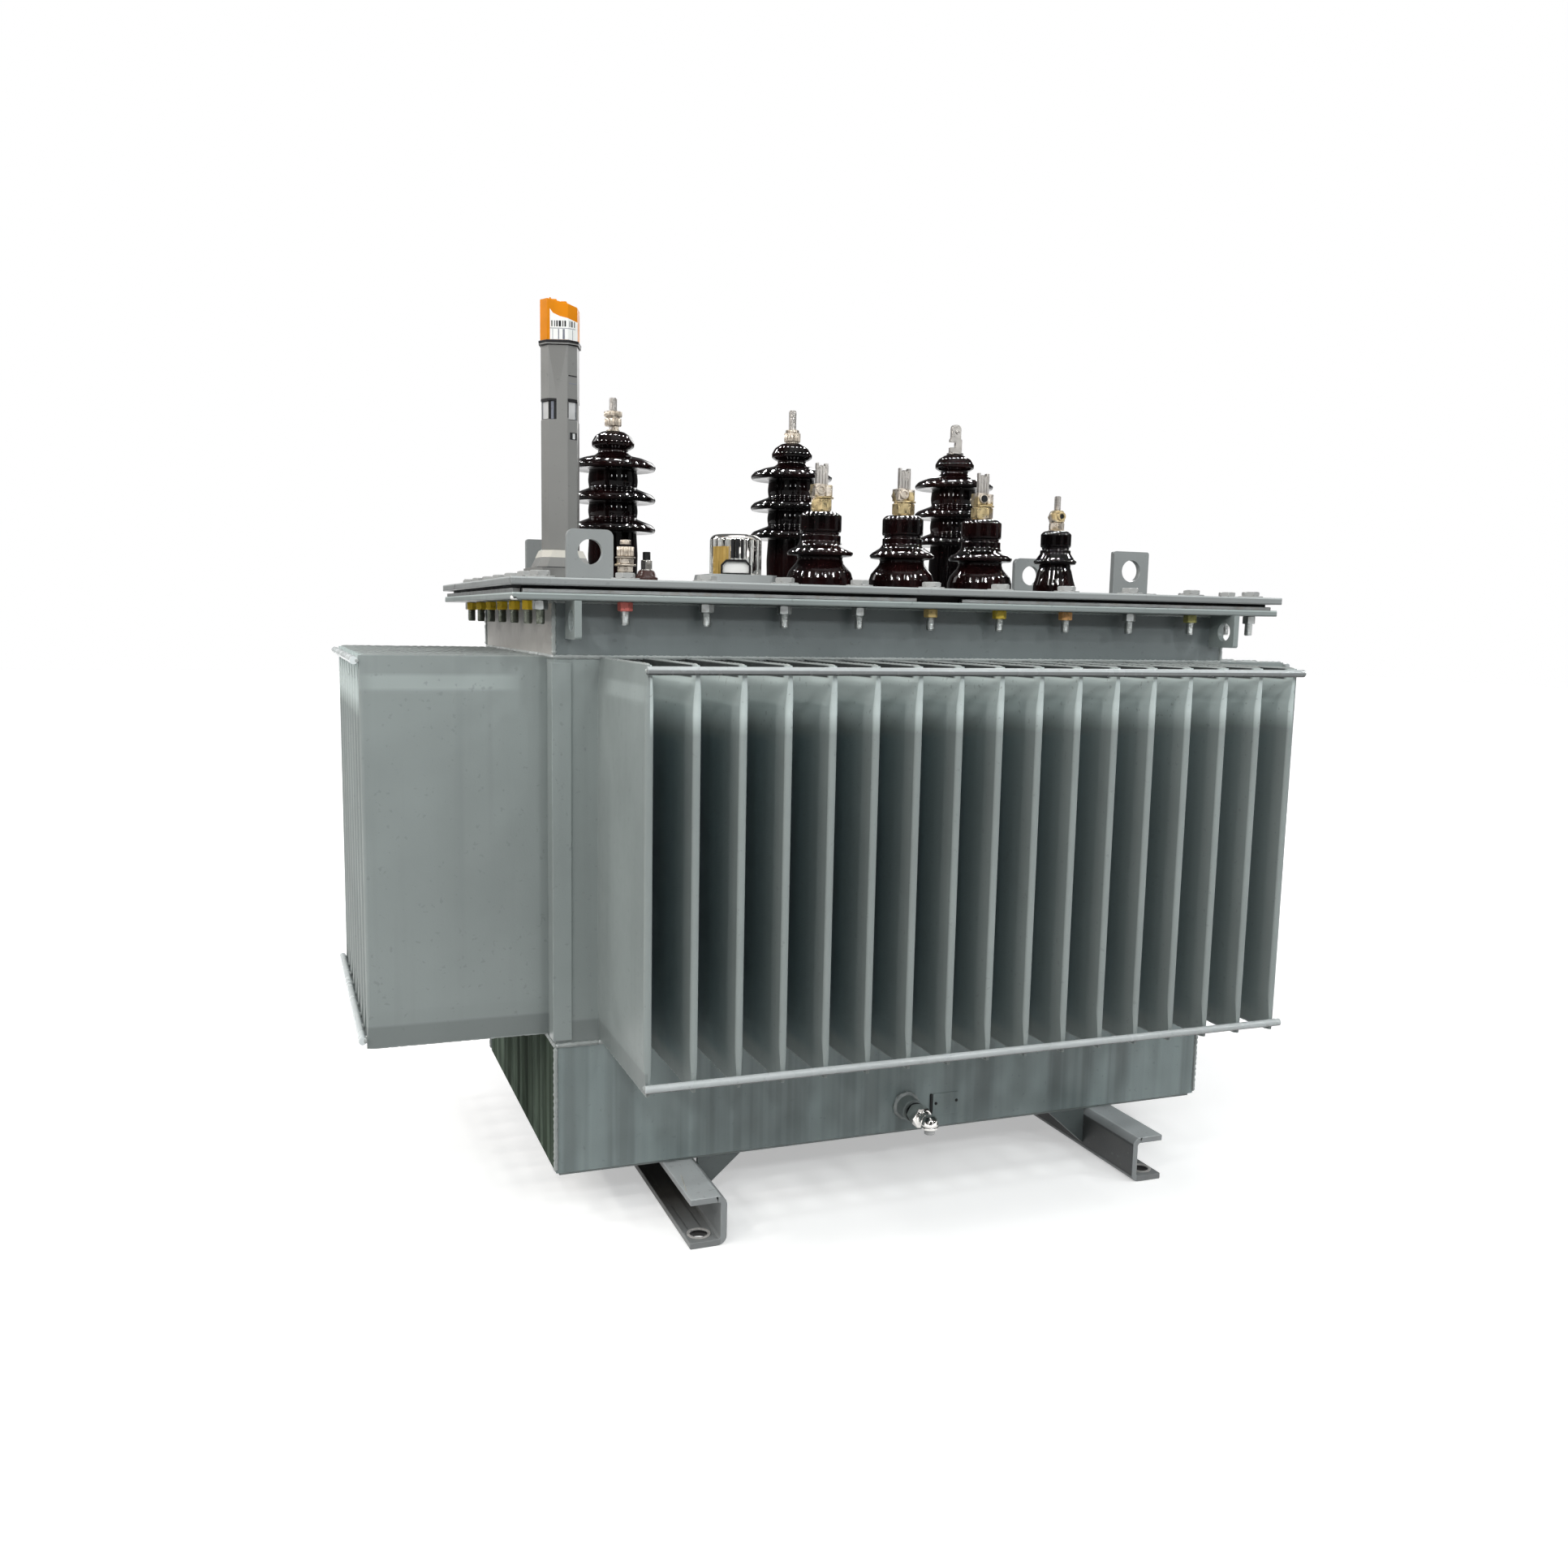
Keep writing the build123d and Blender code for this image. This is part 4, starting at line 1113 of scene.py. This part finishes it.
def makeEarthPiece(x, y, z):
    cap = [(0, 0), (5.5, 0, 0.5), (5.5, 4.4, 1.5), (0, 5.2)]
    built("earthBody", "brass", (hexNut, 15, 6, at(x, y, z + 0.5, 20), 4.4),
          (washer, 11, 4.6, 1.6, at(x, y, z + 6.8)), (hexNut, 15, 5.4, at(x, y, z + 8.6, 38), 4.4), bevel=0.4)
    built("earthCollar", creamNickel, (knurledNut, 8.8, 9.6, at(x, y, z + 16.2), 16, 1.3),
          (washer, 10, 4.6, 1.2, at(x, y, z + 14.4)), (turned, cap, at(x, y, z + 28), 28),
          bevel=0.25, slot="bright_metal")


def makeFillerPlug(x, y, z):
    body = [(0, 0), (14, 0, 0.6), (14, 12, 1.5), (12.4, 13.5, 1), (10, 20, 1.5), (0, 20)]
    built("plugBody", "plug_brown", (turned, body, at(x, y, z), 48), hides=("filler_plug",))
    built("plugNut", "bright_metal", (washer, 8.5, 4, 1.2, at(x, y, z + 20)),
          (hexNut, 13, 11.8, at(x, y, z + 21.2, 8), 3.5), bevel=0.3)
    built("plugKnob", blackFinish, (slab, 8, 8, 10, at(x, y, z + 33, 6), 1.2), bevel=0.8)


built("cornerPlug", whiteFinish, (slab, *coverFittings["cornerSize"], at(*coverFittings["cornerPlug"]), 2.2),
      bevel=1.4)
makeEarthPiece(*coverFittings["earth"])
makeFillerPlug(*coverFittings["filler"])

gauge = {
    "place": (-356.5, 0.0),
    "turn": -19.0,
    "side": 41.0,
    "chamfer": 9.5,
    "windowDepth": 2.5,
    "window": (866.0, 889.0),
    "gap": (-1.5, 11.5),
    "capSide": 42.0,
    "cap": (952.6, 997.6),
    "capDrop": 8.0,
    "scaleLine": 965.0,
    "marks": ((-6.3, 1.2), (-3.2, 0.9), (-0.6, 1.6), (2.6, 2.6), (6.0, 1.1), (8.6, 1.8), (14.0, 1.0), (17.0, 1.8),
              (20.5, 1.2)),
    "ticks": ((-5.4, 0.5), (1.2, 1.2), (6.9, 2.4), (18.0, 0.5)),
}


def cutSquare(side, c):
    h = side / 2
    return [(-h + c, -h), (h - c, -h), (h, -h + c), (h, h - c), (h - c, h), (-h + c, h), (-h, h - c), (-h, -h + c)]


def gaugeBand(shape, turn, levelsAndSides, thick):
    place = at(*gauge["place"], 0, turn)
    outer = [ringOf(shape, cutSquare(side, gauge["chamfer"]), z, place) for z, side in levelsAndSides]
    inner = [ringOf(shape, cutSquare(side - 2 * thick, gauge["chamfer"]), z, place)
             for z, side in reversed(levelsAndSides)]
    joinRings(shape, outer + inner + [outer[0]])


def onFace(shape, face, along, z, near, far):
    # A flat piece on one of the gauge's faces: 0 is the front, 45 the right chamfer
    place = at(*gauge["place"], 0, gauge["turn"] + face) @ at(sum(along) / 2, -(near + far) / 2, z[0])
    slab(shape, along[1] - along[0], far - near, z[1] - z[0], place)


def makeGaugeCap(style):
    side, (low, high) = style["capSide"], style["cap"]
    h, c = side / 2, style["chamfer"]
    flat, wide = h - c, c * math.sqrt(2)
    place = at(*style["place"], 0, style["turn"])
    shape = bmesh.new()
    square = cutSquare(side, c)
    drops = [style["capDrop"] * max(0.0, (x + flat) / (side - c)) for x, y in square]
    sloping = [shape.verts.new(place @ Vector((x, y, high - drop))) for (x, y), drop in zip(square, drops)]
    joinRings(shape, [ringOf(shape, square, low, place), sloping], True)
    for x, size, z in ((-8.5, 2.2, high + 0.4), (-4.5, 6.5, high - 1.3), (6.5, 7.0, high - 3.6)):
        slab(shape, size, 9, 4, place @ at(x, -h + 5.2, z - 3.6), 1)
    makePiece("gaugeCapShell", shape, "gauge_orange", 0.7, ("gauge_cap",))
    away = (2 * h - c) / math.sqrt(2)
    bottom, line = low + 0.4, style["scaleLine"]
    label = [(-8.5, bottom), (flat, bottom), (flat, 976), (2, 978.2), (-5.2, 981.5), (-8.5, 986)]
    corner = [(-wide / 2, bottom), (wide / 2, bottom), (wide / 2, 973.2), (-wide / 2, 976)]
    built("gaugeScale", whiteFinish, (plate, label, h - 0.1, h + 0.3, at(*style["place"], 0, style["turn"], 90)),
          (plate, corner, away - 0.1, away + 0.3, at(*style["place"], 0, style["turn"] + 45, 90)))
    marks, ticks = bmesh.new(), bmesh.new()
    for shapes, rows, span in ((marks, style["marks"], (line + 1.8, line + 8.2)),
                               (ticks, style["ticks"], (low + 0.6, line - 0.8))):
        for middle, size in rows:
            face, centre, distance = (45, middle - flat - wide / 2, away) if middle > flat else (0, middle, h)
            onFace(shapes, face, (centre - size / 2, centre + size / 2), span, distance + 0.2, distance + 0.45)
    for face, along, distance in ((0, (-8.4, flat), h), (45, (-wide / 2, wide / 2 - 3), away)):
        onFace(ticks, face, along, (line - 0.3, line + 0.3), distance + 0.2, distance + 0.45)
    makePiece("gaugeMarks", marks, blackFinish)
    makePiece("gaugeTicks", ticks, slateAndGlintFinish)


def makeGaugeTrim(style):
    for name, turn, rings, thick, finish, bevel in (
            ("gaugeSealRing", style["turn"], ((947.2, 44.6), (952.4, 45.6)), 2.6, blackFinish, 0.6),
            ("gaugeFlareBand", 0, ((712.0, 53.4), (720.4, 46.4)), 2.2, creamFinish, 0.4),
            ("gaugeFlareSeam", 0, ((699.6, 64.0), (701.2, 63.2)), 2.2, blackFinish, 0.2)):
        built(name, finish, (gaugeBand, turn, rings, thick), bevel=bevel)
    low, high = style["window"]
    h, c = style["side"] / 2, style["chamfer"]
    floor, flat = h - style["windowDepth"], h - c
    chamferFloor, chamferFace = ((2 * away - c) / math.sqrt(2) for away in (floor, h))
    half = c / math.sqrt(2)
    lid, pane, jamb = (high - 2.8, high - 0.1), (low + 0.6, high - 2.8), (low + 0.6, high - 2)
    panes, blacks, greyTrimAndTubeGlint = (bmesh.new() for k in range(3))
    for face in (-45, 45, 135, 225):
        onFace(panes, face, (-half + 1.2, half - 1.2), (low + 1, high - 3), chamferFloor - 0.2, chamferFloor + 1.4)
        onFace(blacks, face, (-half, half), lid, chamferFloor - 0.2, chamferFace + 0.1)
    onFace(blacks, 45, (-half, -half + 1.2), (low + 2, high), chamferFloor - 0.2, chamferFace + 0.1)
    for face in (0, 180):
        near, far = (-flat, style["gap"][0]) if face == 0 else (-style["gap"][0], flat)
        onFace(blacks, face, (near, far), lid, floor - 0.2, h + 0.1)
        for along in ((near, near + 3.2), (far - 3.4, far)):
            onFace(blacks, face, along, jamb, floor - 0.2, floor + 0.8)
        # The grey bar between the jambs is a painted highlight on the glass tube
        onFace(greyTrimAndTubeGlint, face, (near + 3.2, far - 3.4), pane, floor - 0.2, floor + 1.3)
    for face in (90, 270):
        for near, far in ((-flat, -6.5), (6.5, flat)):
            onFace(blacks, face, (near, far), lid, floor - 0.2, h + 0.1)
            onFace(greyTrimAndTubeGlint, face, (near + 0.6, far - 0.4), (low + 0.8, high - 2.8), floor - 0.2, floor + 0.6)
    # The small window, its pane and the two thin seams on the right chamfer
    onFace(blacks, 45, (-3.6, half - 0.4), (844.2, 852.2), chamferFace - 0.3, chamferFace + 0.15)
    onFace(panes, 45, (0.2, 3.6), (845.2, 851.2), chamferFace, chamferFace + 0.3)
    onFace(blacks, 45, (-5.6, half - 0.3), (913.6, 915.0), chamferFace - 0.3, chamferFace + 0.12)
    onFace(greyTrimAndTubeGlint, 45, (-4.6, half - 0.6), (905.4, 906.4), chamferFace - 0.3, chamferFace + 0.1)
    makePiece("gaugePanes", panes, paneFinish, 0.2)
    makePiece("gaugeTrimBlack", blacks, blackFinish, 0.15)
    makePiece("gaugeTrimGrey", greyTrimAndTubeGlint, slateAndGlintFinish, 0.15)


makeGaugeCap(gauge)
makeGaugeTrim(gauge)

tapChanger = {
    "place": (-160.5, -54.0, 697.0),
    "turn": -18.0,
    "radius": 30.5,
    "mouth": (17.5, 17.0, 6.0),
    "slots": (-8.0, 3.0, 13.5),
    "slotSpan": (18.5, 40.5),
    "feet": ((-187.7, 12.0), (-149.5, 19.0)),
}


def makeTapTrim(style):
    x, y, z = style["place"]
    radius = style["radius"]
    base = at(x, y, z, style["turn"])
    w, h, c = style["mouth"]
    outer = [(-w, 0), (w, 0), (w, h - c), (w - c, h), (-w + c, h), (-w, h - c)]
    inner = [(-w + 2.2, 1.6), (w - 2.2, 1.6), (w - 2.2, h - c - 0.8), (w - c - 0.8, h - 2.2), (-w + c + 0.8, h - 2.2),
             (-w + 2.2, h - c - 0.8)]
    rim = bmesh.new()
    upright = base @ at(0, 0, 0, 0, 90)
    rings = [ringOf(rim, outline, radius - 1.6 - depth, upright)
             for outline, depth in ((outer, 0.0), (outer, 5.0), (inner, 5.0), (inner, 0.0))]
    joinRings(rim, rings + [rings[0]])
    makePiece("tapMouthRim", rim, blackFinish, 0.4)
    back = base @ at(0, -radius + 6.6, 2)
    built("tapMouthPlate", whiteFinish, (slab, 2 * w - 4.6, 1.2, h - 4, back, 0.3), bevel=0.3)
    low, high = style["slotSpan"]
    slot = softened([(-1.9, low), (1.9, low), (1.9, high, 1.7), (-1.9, high, 1.7)])
    faces = [at(x, y, z, style["turn"] + degrees, 90) for degrees in style["slots"]]
    built("tapSlots", blackFinish, *((plate, slot, radius - 2.6, radius + 0.15, face) for face in faces), bevel=0.3)
    built("tapFeet", whiteFinish, *((slab, size, 6, 5.4, at(footX, y - radius + 1, z - 5.2), 1.5)
                                    for footX, size in style["feet"]), bevel=0.8)


makeTapTrim(tapChanger)
print("cover fittings made")

# Each outline gives radii and heights, counted from the wall, or from the elbow's centre for it and the spout
valve = {
    "place": (2.0, -219.5, 88.0),
    "reach": 62.0,
    "boss": [(0, 0), (16.5, 0, 0.5), (16, 2, 1.5), (13.2, 4.2, 1), (13, 20, 1.2), (8, 20)],
    "weld": [(13, 0.2), (16.8, 0.2, 0.8), (16, 2.8, 1), (13, 4.4)],
    "seal": [(8, 24.6), (11.6, 24.6, 0.6), (11.6, 27.2, 0.6), (8, 27.2)],
    "neck": [(0, 19), (8, 19), (8, 27, 0.5), (9.8, 27.2, 0.5), (9.8, 28)],
    "collar": [(0, 45.5), (9.2, 45.5, 0.8), (9.2, 47.5, 0.8), (7.6, 48.2, 0.5), (7.6, 55), (0, 58)],
    "elbow": [(0, -6), (8.6, -6, 0.5), (9.4, -5.4, 0.6), (10, -4.6, 0.6), (10, -2.6, 0.6), (9.2, -2, 0.4), (9.6, 0, 1),
              (8.7, 5, 5), (5, 8.9, 5), (0, 10)],
    "spout": [(0, -12), (6, -12, 0.8), (6, -5.8), (0, -5.8)],
}


def makeValve(style):
    x, wall, z = style["place"]
    out, below = at(x, wall, z, 0, 90), at(x, wall - style["reach"], z)
    random.seed(11)
    built("valveBoss", "tank_paint", (turned, style["boss"], out, 56), hides=("drain_valve",))
    built("valveBossWeld", weldFinish, (turned, style["weld"], out, 40, 0.035))
    built("valveSeal", blackFinish, (turned, style["seal"], out, 40))
    built("valveBody", "bright_metal", (turned, style["neck"], out, 40), (hexNut, 22, 18, out @ at(0, 0, 27.5)),
          (turned, style["collar"], out, 40), (turned, style["elbow"], below, 48), bevel=0.3)
    built("valveSpout", paneFinish, (turned, style["spout"], below, 36), slot="bright_metal")


makeValve(valve)

smallPlate = {
    "span": (37.5, 71.6, 70.9, 97.6),
    "wall": -219.5,
    "thick": 1.0,
    "rivets": ((41.2, 85.7), (68.3, 87.0)),
    "clip": (33.6, 73.0, 36.4, 98.0),
}


def makeSmallPlate(style):
    wall, thick = at(0, style["wall"], 0, 0, 90), style["thick"]
    rivet = [(0, 0), (1.9, 0), (1.8, 0.7, 0.5), (0, 1.1)]
    built("smallPlate", panFinish, (plate, rectangle(*style["span"], 1), 0.1, thick, wall), bevel=0.2,
          slot="tank_paint")
    built("smallPlateClip", blackFinish,
          *((turned, rivet, at(x, style["wall"] - thick, z, 0, 90), 20) for x, z in style["rivets"]),
          (plate, rectangle(*style["clip"], 0.6), 0.1, 2.0, wall), bevel=0.2)


makeSmallPlate(smallPlate)
print("valve and plate made")

footTrim = {
    "hole": (275.0, 300.0),
    "flange": 7.0,
    "ring": (12.6, 9.6, 1.2),
    "scratch": ((-281.0, -254.0, 53.7), (-288.0, -298.0, 53.7)),
    "scratchSize": 0.7,
}


def makeFootTrim(style):
    holeX, holeY = style["hole"]
    places = [at(x, y, style["flange"] - 0.1) for x in (-holeX, holeX) for y in (-holeY, holeY)]
    built("footHoleRims", footRimFinish, *((washer, *style["ring"], place, 40) for place in places), bevel=0.3)
    random.seed(21)
    built("footPaintRun", creamFinish, (weldBead, *style["scratch"], style["scratchSize"], 3, 5))


makeFootTrim(footTrim)
print("foot details made")

welds = {"seam": 2.6, "rim": 2.2, "flange": 2.0, "corner": 2.4, "finEnd": 1.5, "rodDot": 3.0}


def makeTankWelds(style):
    random.seed(3)
    a, b = tank["halfLength"], tank["halfWidth"]
    shape = bmesh.new()
    corners = [(-a, -b), (a, -b), (a, b), (-a, b)]
    rows = ((levels["seam"], style["seam"]), (levels["rim"], style["rim"]), (levels["flange"] - 0.5, style["flange"]))
    for first, second in zip(corners, corners[1:] + corners[:1]):
        for level, size in rows:
            weldBead(shape, (*first, level), (*second, level), size)
    for x, y in corners:
        weldBead(shape, (x, y, levels["pan"] + 3), (x, y, levels["seam"] - 2), style["corner"])
        weldBead(shape, (x, y, levels["rim"] + 2), (x, y, levels["flange"] - 2), style["corner"])
    makePiece("tankWelds", shape, weldFinish)


# Each row of fins has the way that it faces, its number of fins and their depth
finRows = {
    "pitch": 45.0,
    "levels": (202.0, 604.0),
    "rows": (((0, -1), 17, 187.0), ((0, 1), 17, 187.0), ((-1, 0), 9, 187.0), ((1, 0), 9, 130.0)),
    "rodLevels": (211.0, 599.0),
}


def finPlaces(outward, count):
    x, y = outward
    for i in range(count):
        s = (i - (count - 1) / 2) * finRows["pitch"]
        yield Vector((x * tank["halfLength"] + abs(y) * s, y * tank["halfWidth"] + abs(x) * s, 0)), Vector((x, y, 0))


def makeFinWelds(style):
    random.seed(8)
    ends, dots = bmesh.new(), bmesh.new()
    up = Vector((0, 0, 1))
    for facing, count, depth in finRows["rows"]:
        for root, outward in finPlaces(facing, count):
            for level in finRows["levels"]:
                start = root + up * level
                weldBead(ends, start + outward, start + outward * (depth - 3), style["finEnd"], 3.2, 5)
            for level in finRows["rodLevels"]:
                for sign in (-1, 1):
                    across = outward.cross(up) * sign
                    height = up * (level + random.uniform(-0.6, 0.6))
                    size = style["rodDot"] * random.uniform(0.8, 1.15)
                    dot = [(0, -size), (size * 0.8, -size * 0.6, 1), (size * 0.8, size * 0.6, 1), (0, size)]
                    place = Matrix.Translation(root + outward * (depth + 1.2) + across * 3 + height)
                    turned(dots, dot, place, 10, 0.08, 2)
    makePiece("finEndWelds", ends, weldFinish)
    makePiece("rodWeldDots", dots, weldFinish)


makeTankWelds(welds)
makeFinWelds(welds)
print("weld beads made")

bpy.context.scene.view_settings.view_transform = "Standard"
seenLow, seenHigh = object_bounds()
sizes = {"cad": [list(cadLow), list(cadHigh)], "visual": [list(seenLow), list(seenHigh)]}
